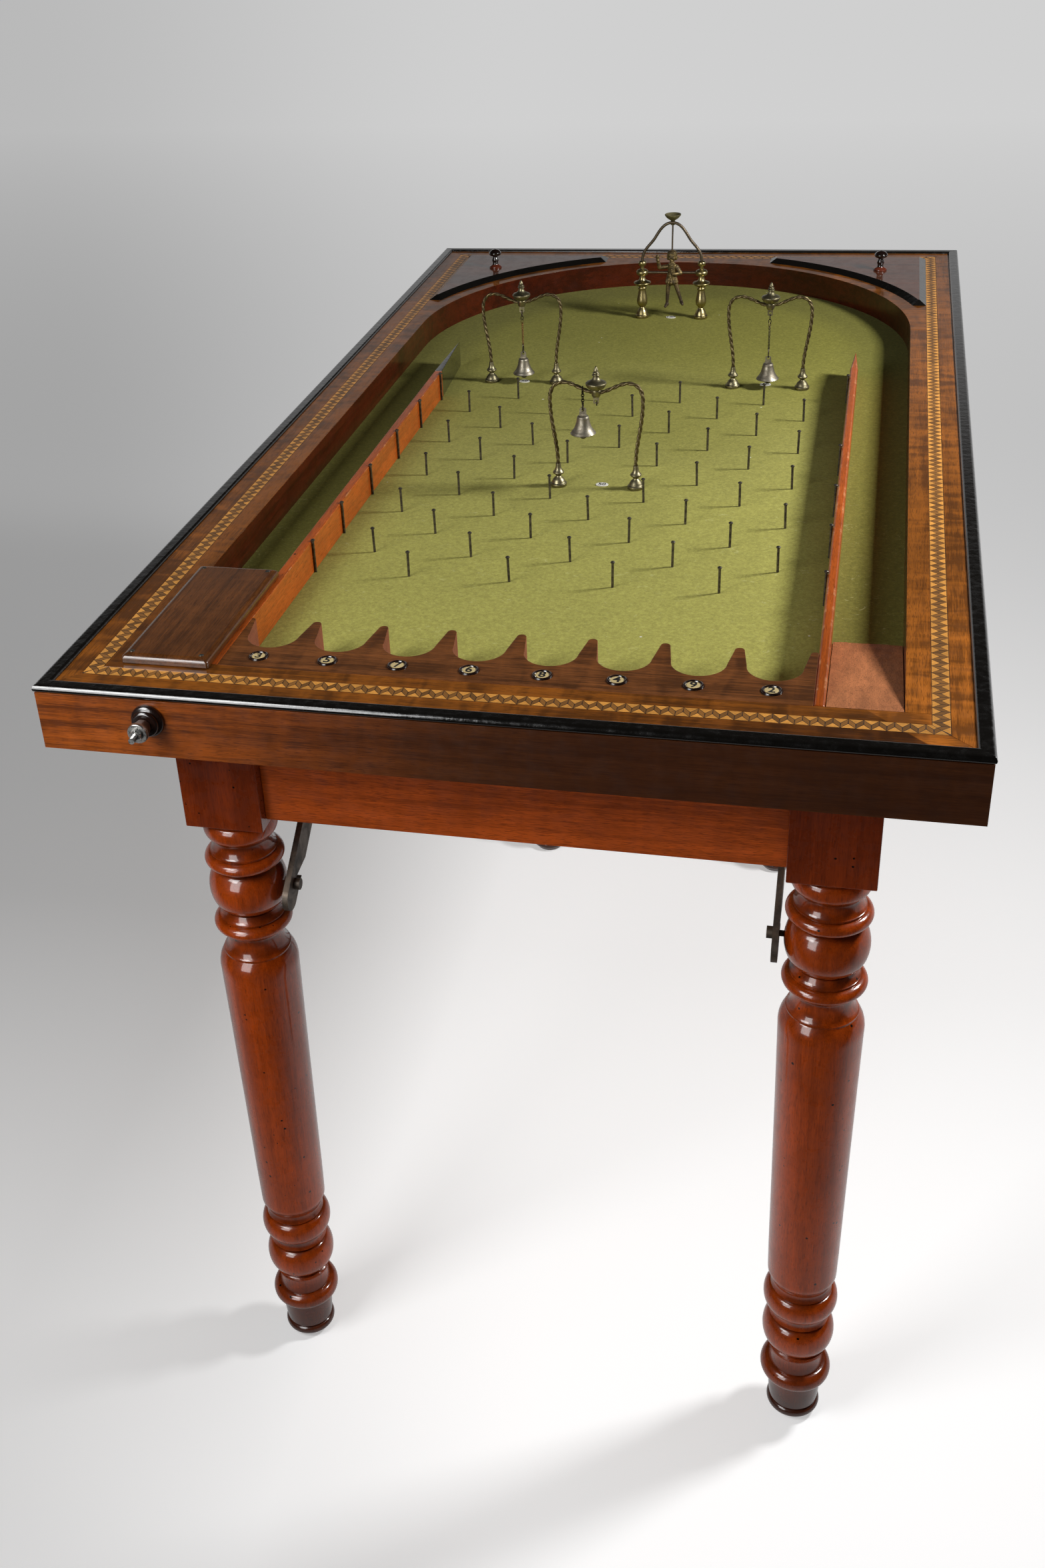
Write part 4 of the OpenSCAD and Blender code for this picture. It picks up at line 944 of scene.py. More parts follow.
def numeral(text, size, place, thickness=0.12):
    """Digits as a thin plate, read from the player's end."""
    curve = bpy.data.curves.new("numeral", "FONT")
    curve.body = text
    curve.size = size
    curve.extrude = thickness / 2
    curve.offset = 0.02 * size
    curve.align_x = "CENTER"
    curve.align_y = "CENTER"
    curve.resolution_u = 3
    thing = bpy.data.objects.new("numeral", curve)
    bpy.context.scene.collection.objects.link(thing)
    evaluated = thing.evaluated_get(bpy.context.evaluated_depsgraph_get())
    mesh = bpy.data.meshes.new_from_object(evaluated)
    mesh.transform(Matrix.Translation(place))
    bpy.data.objects.remove(thing)
    bm = bmesh.new()
    bm.from_mesh(mesh)
    bmesh.ops.remove_doubles(bm, verts=bm.verts, dist=0.001)
    return bm


def by_facing(bm, tops, level=0.7):
    """Gives the faces that look up the second material."""
    bm.normal_update()
    for face in bm.faces:
        face.material_index = 1 if face.normal.z > level and tops(face.calc_center_median()) else 0
    return bm


# Finishes shared by several pieces


def front_shading(tree, place, colour):
    """The front board runs from orange brown on the left to dark brown on the right."""
    across = put(tree, "ShaderNodeSeparateXYZ", {0: place}).outputs[0]
    along = put(tree, "ShaderNodeMapRange", {"Value": across, "From Min": -0.33, "From Max": 0.33})
    fade = ramp(tree, along.outputs[0], (
        (0.0, (1.0, 1.0, 1.0, 1.0)), (0.3, (0.6, 0.62, 1.0, 1.0)),
        (0.5, (0.35, 0.45, 1.0, 1.0)), (1.0, (0.27, 0.38, 1.0, 1.0)),
    ))
    colour = blended(tree, 1.0, colour, fade, "MULTIPLY")
    return blended(tree, stepped(tree, along.outputs[0], 0.15, 0.6, 0.0, 0.65), colour, paint(66, 33, 17))


def deck_shading(tree, place, colour):
    """The right deck board turns gold towards its front corner, up to its front mitre: its own figured veneer
    with painted light on it. The front one darkens to the right.
    """
    spot = put(tree, "ShaderNodeSeparateXYZ", {0: place})
    corner = maths(tree, "SUBTRACT", spot.outputs[0], maths(tree, "MULTIPLY", spot.outputs[1], 0.5))
    beyond = maths(tree, "ADD", spot.outputs[0], spot.outputs[1])
    side = stepped(tree, beyond, -0.309, -0.307)
    # Gold towards the front right corner: the veneer's own colour with painted light on it.
    gold_and_painted_light = blended(tree, stepped(tree, corner, 0.44, 0.58), (1.0, 1.0, 1.0, 1.0), (1.85, 1.85, 2.1, 1.0))
    dark = blended(
        tree, stepped(tree, spot.outputs[0], 0.0, 0.3), (1.0, 1.0, 1.0, 1.0), (0.5, 0.46, 0.5, 1.0),
    )
    front = blended(tree, stepped(tree, spot.outputs[1], -0.56, -0.6), (1.0, 1.0, 1.0, 1.0), dark)
    return blended(tree, 1.0, colour, blended(tree, side, front, gold_and_painted_light), "MULTIPLY")


def foot_shading(tree, place, colour):
    """Legs blacken towards the floor."""
    height = put(tree, "ShaderNodeSeparateXYZ", {0: place}).outputs[2]
    rough_line = maths(tree, "MULTIPLY_ADD", grainy(tree, place, 30.0, 3.0), 0.05, height)
    dark = stepped(tree, rough_line, 0.03, 0.13, 0.9, 0.0)
    block = stepped(tree, height, 0.62, 0.63, 0.0, 0.5)
    return blended(tree, block, blended(tree, dark, colour, paint(46, 30, 22)), paint(84, 24, 8))


def figure_shading(tree, place, colour):
    """The figure darkens down its legs, and its gilt is left on the chest and hair."""
    height = put(tree, "ShaderNodeSeparateXYZ", {0: place}).outputs[2]
    rough_line = maths(tree, "MULTIPLY_ADD", grainy(tree, place, 300.0, 3.0), 0.012, height)
    return blended(tree, stepped(tree, rough_line, 0.795, 0.822, 0.85, 0.0), colour, paint(70, 58, 48))


def finishes():
    """Every material, by name."""
    scene = bpy.context.scene
    case, field, arch, stand = scene.bag_case, scene.bag_field, scene.bag_arch, scene.bag_stand
    made = {
        "front": wood(
            "Front board mahogany", case.board_colour, 0.6, 0.15, rub=paint(150, 100, 60),
            extra=front_shading,
        ),
        "case": wood(
            "Case board mahogany", shade(case.board_colour, 0.6), 0.45, 0.1, rub=paint(150, 100, 60),
        ),
        "veneer": wood(
            "Deck veneer", case.veneer_colour, 0.5, 0.6, rough=0.36, coat=0.6, rub=paint(60, 34, 20),
            extra=deck_shading,
        ),
        "seam": plain("Inlay ground", paint(52, 30, 16), 0.5),
        "tiles": tile_material("Inlay tiles", case.tile_light, case.tile_brown),
        "ebony": ebony("Ebonised moulding", case.ebony_colour),
        "wall": wood("Wall mahogany", paint(72, 23, 8), 0.45, 0.15, rough=0.3, rub=paint(150, 108, 80)),
        "pine": wood("Pine inside", paint(168, 122, 74), 0.3, 0.1, rough=0.6, coat=0.0),
        "baize": cloth_material("Worn baize", field.cloth_colour),
        "comb": wood(
            "Burr comb top", field.comb_colour, 0.55, 0.3, rough=0.36, coat=0.5, rub=paint(70, 38, 22),
        ),
        "cut": wood("Comb cut faces", paint(150, 88, 64), 0.2, 0.1, rough=0.6, coat=0.0),
        "rail": wood("Fruitwood rail", field.rail_colour, 0.3, 0.1, rub=paint(214, 160, 110), worm=0.06),
        "ramp": wood(
            "Ramp wood", field.ramp_colour, 0.25, 0.15, rough=0.6, coat=0.05, rub=paint(120, 70, 46),
            worm=0.04,
        ),
        "cover": wood(
            "Lane cover walnut", paint(100, 58, 26), 0.45, 0.15, rough=0.3, coat=1.0, rub=paint(60, 26, 14),
        ),
        "lid": wood("Lid mahogany", paint(90, 48, 28), 0.4, 0.1, rough=0.3, coat=1.0),
        "knob": plain("Knob polish", paint(24, 14, 11), 0.15, 0.8),
        "knob_base": plain("Knob base", paint(96, 42, 26), 0.2, 0.7),
        "iron": metal("Nail iron", paint(112, 106, 96), paint(46, 42, 36), 0.36, 0.7, 0.004, shine=0.85),
        "black_iron": metal("Stay iron", paint(94, 79, 64), paint(54, 46, 38), 0.45, 0.8, 0.02, shine=0.4),
        "brass": metal("Aged brass", arch.brass_colour, paint(112, 98, 58), 0.26, 0.55, 0.01),
        "grey_brass": metal("Grey brass", paint(152, 144, 114), paint(92, 86, 66), 0.35, 0.7, 0.006),
        "wire": metal("Twisted wire", arch.wire_colour, paint(70, 58, 42), 0.42, 0.7, 0.006),
        "rod": metal("Bent rod", paint(104, 93, 78), paint(78, 68, 56), 0.42, 0.5, 0.012),
        "dull_brass": metal(
            "Dull brass", paint(126, 119, 84), paint(88, 82, 58), 0.48, 0.6, 0.006, shine=0.6,
        ),
        "chain": metal("Chain wire", paint(82, 74, 66), paint(34, 30, 28), 0.4, 0.7, 0.004),
        "copper": metal("Copper chain", paint(182, 136, 92), paint(112, 80, 56), 0.3, 0.5, 0.003),
        "bell": metal("Bell metal", arch.bell_colour, paint(110, 101, 88), 0.42, 0.7, 0.006),
        "clapper": metal("Clapper", paint(70, 62, 56), paint(30, 26, 24), 0.45, 0.8, 0.006),
        "figure": metal(
            "Figure paint", arch.figure_colour, paint(66, 54, 36), 0.4, 0.85, 0.004, shine=0.6,
            extra=figure_shading,
        ),
        "leg": wood(
            "Leg mahogany", stand.leg_colour, 0.3, 0.1, rough=0.26, coat=1.0, worm=stand.worm,
            hollow=stand.grime, extra=foot_shading, rub=paint(96, 40, 18),
        ),
        "apron": wood(
            "Apron mahogany", stand.apron_colour, 0.35, 0.15, rough=0.3, coat=0.6, rub=paint(90, 44, 22),
        ),
        "horn": plain("Collar horn", paint(104, 66, 44), 0.35, 0.3, 0.5, 0.006),
        "ring": plain("Bush polish", paint(34, 20, 16), 0.15, 0.8),
        "zinc": metal("Bright zinc", paint(206, 206, 204), paint(118, 114, 108), 0.2, 0.6, 0.003),
        "bone": plain("Bone", paint(206, 184, 132), 0.4, 0.2, 0.25, 0.004),
        "white": plain("White plaques", paint(226, 224, 214), 0.45, 0.1, 0.2, 0.004),
        "ink": plain("Ink", paint(24, 20, 18), 0.5),
    }
    return made


FINISH = {}


# Operators, one for each group of pieces


class BAG_OT_case(bpy.types.Operator):
    """Dress the case: front board, side and back boards, moulding, base and kerbs"""

    bl_idname = "bag.case"
    bl_label = "Case boards"

    def execute(self, context):
        width = context.scene.bag_case.edge_round / MM
        bm = round_edges(cad_copy("front_board"), width)
        finish(
            bm, "front_board_dressed", "front_board", [FINISH["front"]], ["front_board"],
            flat=True,
        )
        bm = round_edges(cad_copy("case_boards"), width)
        finish(
            bm, "case_boards_dressed", "case_boards", [FINISH["case"]], ["case_boards"],
            flat=True,
        )
        bm = round_edges(cad_copy("edge_moulding"), 0.3, least=50)
        finish(
            bm, "edge_moulding_dressed", "edge_moulding", [FINISH["ebony"]], ["edge_moulding"],
            sharp=48, flat=True,
        )
        for node in ("base_board", "end_kerbs"):
            bm = cad_copy(node)
            finish(bm, node + "_dressed", node, [FINISH["pine"]], [node], flat=True)
        return {"FINISHED"}


class BAG_OT_deck(bpy.types.Operator):
    """Lay the deck veneer, the inlay tiles, the side walls and the arch fence"""

    bl_idname = "bag.deck"
    bl_label = "Deck and inlay"

    def execute(self, context):
        case = context.scene.bag_case
        bm = round_edges(cad_copy("deck_boards"), 0.3, segments=1)
        finish(
            bm, "deck_boards_dressed", "deck_boards", [FINISH["veneer"]], ["deck_boards"],
            flat=True,
        )
        for node in ("side_walls", "arch_fence"):
            bm = by_facing(round_edges(cad_copy(node), 0.4), lambda c: c.z > DECK_Z - 1)
            finish(
                bm, node + "_dressed", node, [FINISH["wall"], FINISH["veneer"]], [node],
                flat=True,
            )
        frame["nodes"]["inlay_band"].data.materials.clear()
        frame["nodes"]["inlay_band"].data.materials.append(FINISH["seam"])
        bm = self.strips(case.tile_pitch / MM, case.tile_seam / MM)
        finish(bm, "inlay_tiles", "inlay_band", [FINISH["tiles"]], flat=True)
        return {"FINISHED"}

    def strips(self, pitch, seam):
        """The four strips of tiles, cut to the mitres."""
        sides = (
            (INLAY_X, INLAY_Y, 0), (INLAY_Y, INLAY_X, 90), (INLAY_X, INLAY_Y, 180), (INLAY_Y, INLAY_X, 270),
        )
        made = []
        draw = random.Random(3)
        for half, out, degrees in sides:
            count = int(2 * half / pitch) + 2
            first = -count * pitch / 2
            points = [(first + i * pitch, -out, DECK_Z) for i in range(count)]
            bm = set_out(self.unit(pitch, seam), points, FINISH["tiles"])
            for sign in (-1, 1):
                mitre = bmesh.ops.bisect_plane(
                    bm, geom=bm.verts[:] + bm.edges[:] + bm.faces[:], dist=0.001, clear_outer=True,
                    plane_co=(sign * (half - seam), -out, DECK_Z), plane_no=(sign, 1, 0),
                )
                rim = [g for g in mitre["geom_cut"] if isinstance(g, bmesh.types.BMEdge)]
                bmesh.ops.holes_fill(bm, edges=rim, sides=0)
            layer = bm.faces.layers.float.get("chance") or bm.faces.layers.float.new("chance")
            for group in islands(bm):
                value = draw.random()
                for face in {f for v in group for f in v.link_faces}:
                    face[layer] = value
            bm.transform(Matrix.Rotation(math.radians(degrees), 4, "Z"))
            made.append(bm)
        return merged(*made)

    def unit(self, pitch, seam):
        """One repeat: two light triangles and two brown lozenges, a little above the ground."""
        w, p, h = INLAY_W, pitch, pitch / 2
        tiles = (
            (0, ((0, 0), (p, 0), (h, w / 2))),
            (0, ((h, w), (p, w / 2), (p + h, w))),
            (1, ((0, 0), (h, w / 2), (h, w), (0, w / 2))),
            (1, ((p, 0), (p, w / 2), (h, w), (h, w / 2))),
        )
        bm = bmesh.new()
        layer = bm.faces.layers.float.new("kind")
        for kind, outline in tiles:
            centre = sum((Vector(q) for q in outline), Vector((0, 0))) / len(outline)
            small = []
            for q in outline:
                way = centre - Vector(q)
                small.append(tuple(Vector(q) + way.normalized() * min(seam * 1.3, way.length * 0.5)))
            turned = sum(a[0] * b[1] - b[0] * a[1] for a, b in zip(small, small[1:] + small[:1]))
            for face in prism(bm, small if turned > 0 else small[::-1], -0.3, 0.06):
                face[layer] = kind
        return bm


class BAG_OT_field(bpy.types.Operator):
    """Lay the cloth, the comb with its number discs and the plaques"""

    bl_idname = "bag.field"
    bl_label = "Field"

    def execute(self, context):
        self.cloth()
        bm = by_facing(round_edges(cad_copy("cup_comb"), 0.5), lambda c: c.z > DECK_Z - 1, 0.5)
        finish(
            bm, "cup_comb_dressed", "cup_comb", [FINISH["cut"], FINISH["comb"]], ["cup_comb"],
            flat=True,
        )
        self.plates()
        return {"FINISHED"}

    def cloth(self):
        """The cloth, glued flat on the base board."""
        steps = 64
        outline = [(-FIELD_X, -FIELD_Y), (FIELD_X, -FIELD_Y)]
        for i in range(steps + 1):
            a = math.pi * i / steps
            outline.append((ARCH_R * math.cos(a), ARCH_Y + ARCH_R * math.sin(a)))
        bm = bmesh.new()
        prism(bm, outline, BASE_Z, FIELD_Z)
        piece = finish(bm, "field_cloth", "cloth", [FINISH["baize"]], ["cloth"], flat=True)

    def plates(self):
        """Number discs with raised dark rims on the comb, and small ovals on the cloth."""
        rim = [
            (0.0, -1.6), (7.5, -1.6), (7.5, 0.2), (7.1, 1.0), (6.3, 1.3), (5.6, 1.0), (5.2, 0.3), (0.0, 0.3),
        ]
        unit = turn(bmesh.new(), rim, (0, 0, 0), sides=32)
        spots = [(COMB_MID + (i - (CUPS - 1) / 2) * CUP_PITCH, DISC_Y, DECK_Z) for i in range(CUPS)]
        bm = set_out(unit, spots, FINISH["ring"])
        finish(bm, "disc_rims", "number_plates", [FINISH["ring"]], ["number_plates"])
        disc = [(0.0, 0.1), (5.15, 0.1), (5.15, 0.45), (4.6, 0.62), (0.0, 0.7)]
        unit = turn(bmesh.new(), disc, (0, 0, 0), sides=32)
        bm = set_out(unit, spots, FINISH["bone"])
        finish(bm, "disc_faces", "number_plates", [FINISH["bone"]])
        digits = [numeral(n, 11.0, (x, y, DECK_Z + 0.74)) for n, (x, y, z) in zip(NUMBERS, spots)]
        finish(merged(*digits), "disc_numbers", "number_plates", [FINISH["ink"]], sharp=20)
        ovals = bmesh.new()
        for x, y, _ in PLAQUES:
            outline = []
            for k in range(36):
                a = 2 * math.pi * k / 36
                outline.append((x + PLAQUE_HALF_X * math.cos(a), y + PLAQUE_HALF_Y * math.sin(a)))
            prism(ovals, outline, FIELD_Z - 0.2, FIELD_Z + 0.8)
        round_edges(ovals, 0.25, least=50)
        finish(ovals, "score_plaques", "number_plates", [FINISH["white"]], flat=True)
        digits = [numeral(text, 7.4, (x, y, FIELD_Z + 0.84)) for x, y, text in PLAQUES]
        finish(merged(*digits), "plaque_numbers", "number_plates", [FINISH["ink"]], sharp=20)


class BAG_OT_lanes(bpy.types.Operator):
    """Dress the lane rails, the black rail end, the lane cover and the ramp"""

    bl_idname = "bag.lanes"
    bl_label = "Lanes"

    def execute(self, context):
        for node, width in (("left_rail", 0.7), ("right_rail", 2.2)):
            bm = round_edges(cad_copy(node), width, segments=3)
            finish(bm, node + "_dressed", node, [FINISH["rail"]], [node], flat=True)
        bm = round_edges(cad_copy("left_rail_tip"), 0.6)
        finish(
            bm, "left_rail_tip_dressed", "left_rail_tip", [FINISH["ebony"]], ["left_rail_tip"],
            flat=True,
        )
        self.cover()
        self.ramp()
        return {"FINISHED"}

    def cover(self):
        """The lane cover, a board with wide bevels worn round."""
        low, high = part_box("lane_cover")
        x0, x1 = low.x / MM, high.x / MM
        y0, y1 = low.y / MM - TABLE_Y, high.y / MM - TABLE_Y
        rings = []
        for inset, z in ((0.0, low.z / MM), (0.0, high.z / MM - 2.4), (3.2, high.z / MM)):
            left, right, near, far = x0 + inset, x1 - inset, y0 + inset, y1 - inset
            rings.append(((left, near, z), (right, near, z), (right, far, z), (left, far, z)))
        bm = round_edges(join_rings(bmesh.new(), rings), 1.5, least=20, segments=5)
        finish(
            bm, "lane_cover_worn", "lane_cover", [FINISH["cover"]], ["lane_cover"],
            flat=True,
        )

    def ramp(self):
        """The ramp slopes down to a chipped feather edge."""
        low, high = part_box("ball_ramp")
        x0, x1 = low.x / MM, high.x / MM
        y0, y1 = low.y / MM - TABLE_Y, high.y / MM - TABLE_Y
        columns, rows = 26, 12
        bm = bmesh.new()
        layer = bm.faces.layers.float.new("edge")
        tops, bottoms = [], []
        for i in range(columns + 1):
            x = x0 + (x1 - x0) * i / columns
            chip = 2.2 * noise.noise(Vector((x * 0.11, 3.1, 0.0)))
            chip += 1.4 * noise.noise(Vector((x * 0.45, 8.2, 0.0)))
            end = y1 - 2.4 + min(2.4, chip)
            top, bottom = [], []
            for j in range(rows + 1):
                y = y0 + (end - y0) * j / rows
                z = DECK_Z - (DECK_Z - FIELD_Z - 0.8) * (y - y0) / (y1 - y0)
                top.append(bm.verts.new((x, y, z)))
                bottom.append(bm.verts.new((x, y, FIELD_Z)))
            tops.append(top)
            bottoms.append(bottom)
        for i in range(columns):
            for j in range(rows):
                bm.faces.new((tops[i][j], tops[i + 1][j], tops[i + 1][j + 1], tops[i][j + 1]))
                bm.faces.new((bottoms[i][j], bottoms[i][j + 1], bottoms[i + 1][j + 1], bottoms[i + 1][j]))
            bm.faces.new((tops[i][0], bottoms[i][0], bottoms[i + 1][0], tops[i + 1][0]))
            rim = bm.faces.new((tops[i][rows], tops[i + 1][rows], bottoms[i + 1][rows], bottoms[i][rows]))
            rim[layer] = 1.0
        for j in range(rows):
            bm.faces.new((tops[0][j], tops[0][j + 1], bottoms[0][j + 1], bottoms[0][j]))
            bm.faces.new((tops[-1][j + 1], tops[-1][j], bottoms[-1][j], bottoms[-1][j + 1]))
        finish(
            bm, "ball_ramp_worn", "ball_ramp", [FINISH["ramp"]], ["ball_ramp"],
            turned_in=True,
        )


class BAG_OT_nails(bpy.types.Operator):
    """Drive the pins and nails"""

    bl_idname = "bag.nails"
    bl_label = "Pins and nails"

    def execute(self, context):
        field = context.scene.bag_field
        pins = []
        for j in range(PIN_ROWS):
            places = (-1.5, -0.5, 0.5, 1.5) if j % 2 == 0 else (-2, -1, 0, 1, 2)
            for i in places:
                if not (j == 5 and i == 0):
                    pins.append((PIN_MID_X + i * PIN_PITCH, ROW_Y + j * ROW_PITCH, FIELD_Z))
        lean = field.lean
        bm = set_out(self.nail(field, field.pin_height / MM), pins, FINISH["iron"], lean=lean, seed=5)
        finish(bm, "field_pins_driven", "field_pins", [FINISH["iron"]], ["field_pins"])
        left = COMB_X0 + field.nail_diameter / MM / 2 + 0.1
        right = RIGHT_RAIL_X - field.nail_diameter / MM / 2 - 0.1
        lane = [(left, y, FIELD_Z) for y in LEFT_NAILS] + [(right, y, FIELD_Z) for y in RIGHT_NAILS]
        bm = set_out(self.nail(field, LANE_NAIL_H), lane, FINISH["iron"], lean=lean * 0.1, seed=9)
        head = bmesh.new()
        turn(head, [(0.0, -0.8), (1.9, -0.8), (1.9, 0.1), (1.5, 0.45), (0.0, 0.6)], (0, 0, 0), sides=16)
        low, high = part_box("lane_cover")
        spots = []
        for x in (low.x / MM + COVER_NAIL_INSET, high.x / MM - COVER_NAIL_INSET):
            for y in (low.y / MM + COVER_NAIL_INSET, high.y / MM - COVER_NAIL_INSET):
                spots.append((x, y - TABLE_Y, high.z / MM))
        bm = merged(bm, set_out(head, spots, FINISH["iron"]))
        finish(bm, "lane_nails_driven", "nails", [FINISH["iron"]], ["nails"])
        return {"FINISHED"}

    def nail(self, field, height):
        """A nail driven into the base, with a low round head."""
        r, head = field.nail_diameter / MM / 2, field.head_diameter / MM / 2
        bm = bmesh.new()
        outline = [
            (0.0, -NAIL_DEPTH), (r, -NAIL_DEPTH + 1), (r, height - 2.0), (head * 0.94, height - 1.7),
            (head, height - 1.3), (head * 0.96, height - 0.8), (head * 0.6, height - 0.2), (0.0, height),
        ]
        return turn(bm, outline, (0, 0, 0), sides=14)


class BAG_OT_lids(bpy.types.Operator):
    """Dress the two corner lids and turn their knobs"""

    bl_idname = "bag.lids"
    bl_label = "Lids and knobs"

    def execute(self, context):
        outline = softened(
            [
                (0.0, 0.0), (8.0, 0.0), (8.0, 1.9), (6.4, 2.7), (4.4, 4.0), (3.7, 5.6), (3.5, 7.4),
                (4.2, 9.2), (4.4, 10.4), (3.7, 12.4), (3.0, 14.0), (3.4, 15.0), (6.6, 16.2), (7.9, 18.0),
                (7.8, 19.6), (6.2, 21.6), (3.4, 23.2), (0.0, 24.0),
            ], 0.5,
        )
        for side, sign in (("left", -1), ("right", 1)):
            bm = round_edges(cad_copy("lid_" + side), 0.35)
            bm.normal_update()
            for face in bm.faces:
                face.material_index = 1 if face.normal.z > 0.95 else 0
            finish(
                bm, f"lid_{side}_dressed", "lid_" + side, [FINISH["ebony"], FINISH["lid"]],
                ["lid_" + side], flat=True, grain="X",
            )
            bm = bmesh.new()
            turn(bm, outline, (sign * KNOB_X, KNOB_Y, DECK_Z + LID_T))
            for face in bm.faces:
                face.material_index = 1 if face.calc_center_median().z < DECK_Z + LID_T + KNOB_BASE_H else 0
            finish(
                bm, f"knob_{side}_turned", "knob_" + side, [FINISH["knob"], FINISH["knob_base"]],
                ["knob_" + side], turned_in=True,
            )
        return {"FINISHED"}


class BAG_OT_plunger(bpy.types.Operator):
    """Turn the plunger's rings and make its collar, nut, rod, striker and spring"""

    bl_idname = "bag.plunger"
    bl_label = "Plunger"

    def execute(self, context):
        place = (PLUNGER_X, 0, PLUNGER_Z)
        rings = softened(
            [
                (3.05, 632.0), (13.0, 632.9), (13.0, 634.6), (12.4, 636.0), (11.0, 637.0), (9.6, 637.4),
                (10.4, 638.4), (10.3, 640.0), (9.0, 641.0), (6.0, 641.0), (3.05, 640.9),
            ], 0.5,
        )
        bm = turn(bmesh.new(), [(3.05, 579.2), (5.0, 579.2), (5.0, 632.9)] + rings[1:], place, "-Y")
        finish(
            bm, "plunger_bush_turned", "plunger_bush", [FINISH["ring"]], ["plunger_bush"],
            turned_in=True,
        )
        self.rod(place)
        self.collar(place)
        self.nut(place)
        striker = softened(
            [(0.0, 509.0), (6.8, 509.0), (7.5, 510.5), (7.5, 519.5), (6.8, 521.0), (3.0, 521.0)], 0.6,
        )
        bm = turn(bmesh.new(), striker, place, "-Y")
        finish(
            bm, "plunger_striker_turned", "plunger_striker", [FINISH["rail"]],
            ["plunger_striker"], turned_in=True,
        )
        self.spring(place)
        return {"FINISHED"}

    def rod(self, place):
        """The rod, with a cut thread and a slot at its outer end."""
        outline = [(0.0, 515.0), (3.0, 515.0), (3.0, 652.0), (2.4, 652.2)]
        at = 656.6
        while at < 663.4:
            outline += [(2.4, at), (1.95, at + 0.35), (2.4, at + 0.7)]
            at += 0.8
        outline += [(2.1, 664.3), (0.0, 664.3)]
        bm = turn(bmesh.new(), outline, place, "-Y", sides=24)
        finish(
            bm, "plunger_rod_cut", "plunger_rod", [FINISH["zinc"]], ["plunger_rod"], turned_in=True,
        )

    def collar(self, place):
        """A flared collar cut with eight worn facets."""
        stations = ((641.6, 5.6), (642.6, 6.1), (647.0, 6.8), (651.4, 8.4), (652.0, 8.1))
        half_facet = math.pi / COLLAR_FACETS
        rings = []
        for y, radius in stations:
            ring = []
            for k in range(40):
                a = 2 * math.pi * k / 40
                facet = math.cos(half_facet) / math.cos((a + half_facet) % (2 * half_facet) - half_facet)
                r = radius * (0.35 + 0.65 * facet)
                ring.append((PLUNGER_X + r * math.cos(a), -y, PLUNGER_Z + r * math.sin(a)))
            rings.append(ring)
        bm = join_rings(bmesh.new(), rings)
        finish(
            bm, "plunger_collar_cut", "plunger_collar", [FINISH["horn"]], ["plunger_collar"],
            turned_in=True,
        )

    def nut(self, place):
        """Washer and hexagon nut with turned-down corners."""
        washer = [(2.3, 652.05), (7.4, 652.05), (7.6, 652.3), (7.6, 653.3), (7.3, 653.55), (2.3, 653.55)]
        bm = turn(bmesh.new(), washer, place, "-Y", sides=40)
        stations = ((653.56, 4.65), (656.6, 4.65), (657.2, 4.0))
        rings = []
        for y, limit in stations:
            ring = []
            for k in range(36):
                a = 2 * math.pi * k / 36
                r = min(limit, NUT_FLAT_R / math.cos((a + math.pi / 6) % (math.pi / 3) - math.pi / 6))
                ring.append((PLUNGER_X + r * math.cos(a), -y, PLUNGER_Z + r * math.sin(a)))
            rings.append(ring)
        join_rings(bm, rings)
        finish(
            bm, "plunger_nut_cut", "plunger_nut", [FINISH["zinc"]], ["plunger_nut"], sharp=25,
            turned_in=True,
        )

    def spring(self, place):
        """The return spring, one unbroken wire."""
        turns, per_turn = 12, 24
        run = SPRING_ROOM - 2 * SPRING_WIRE_R - 0.4
        path = []
        for i in range(turns * per_turn + 1):
            a = 2 * math.pi * i / per_turn
            y = -FIELD_Y + 0.7 + run * i / (turns * per_turn)
            path.append((PLUNGER_X + SPRING_R * math.cos(a), y, PLUNGER_Z + SPRING_R * math.sin(a)))
        bm = tube(bmesh.new(), path, SPRING_WIRE_R, sides=10)
        piece = finish(
            bm, "plunger_spring_wound", "plunger_spring", [FINISH["iron"]], ["plunger_spring"],
            turned_in=True,
        )
        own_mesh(piece)


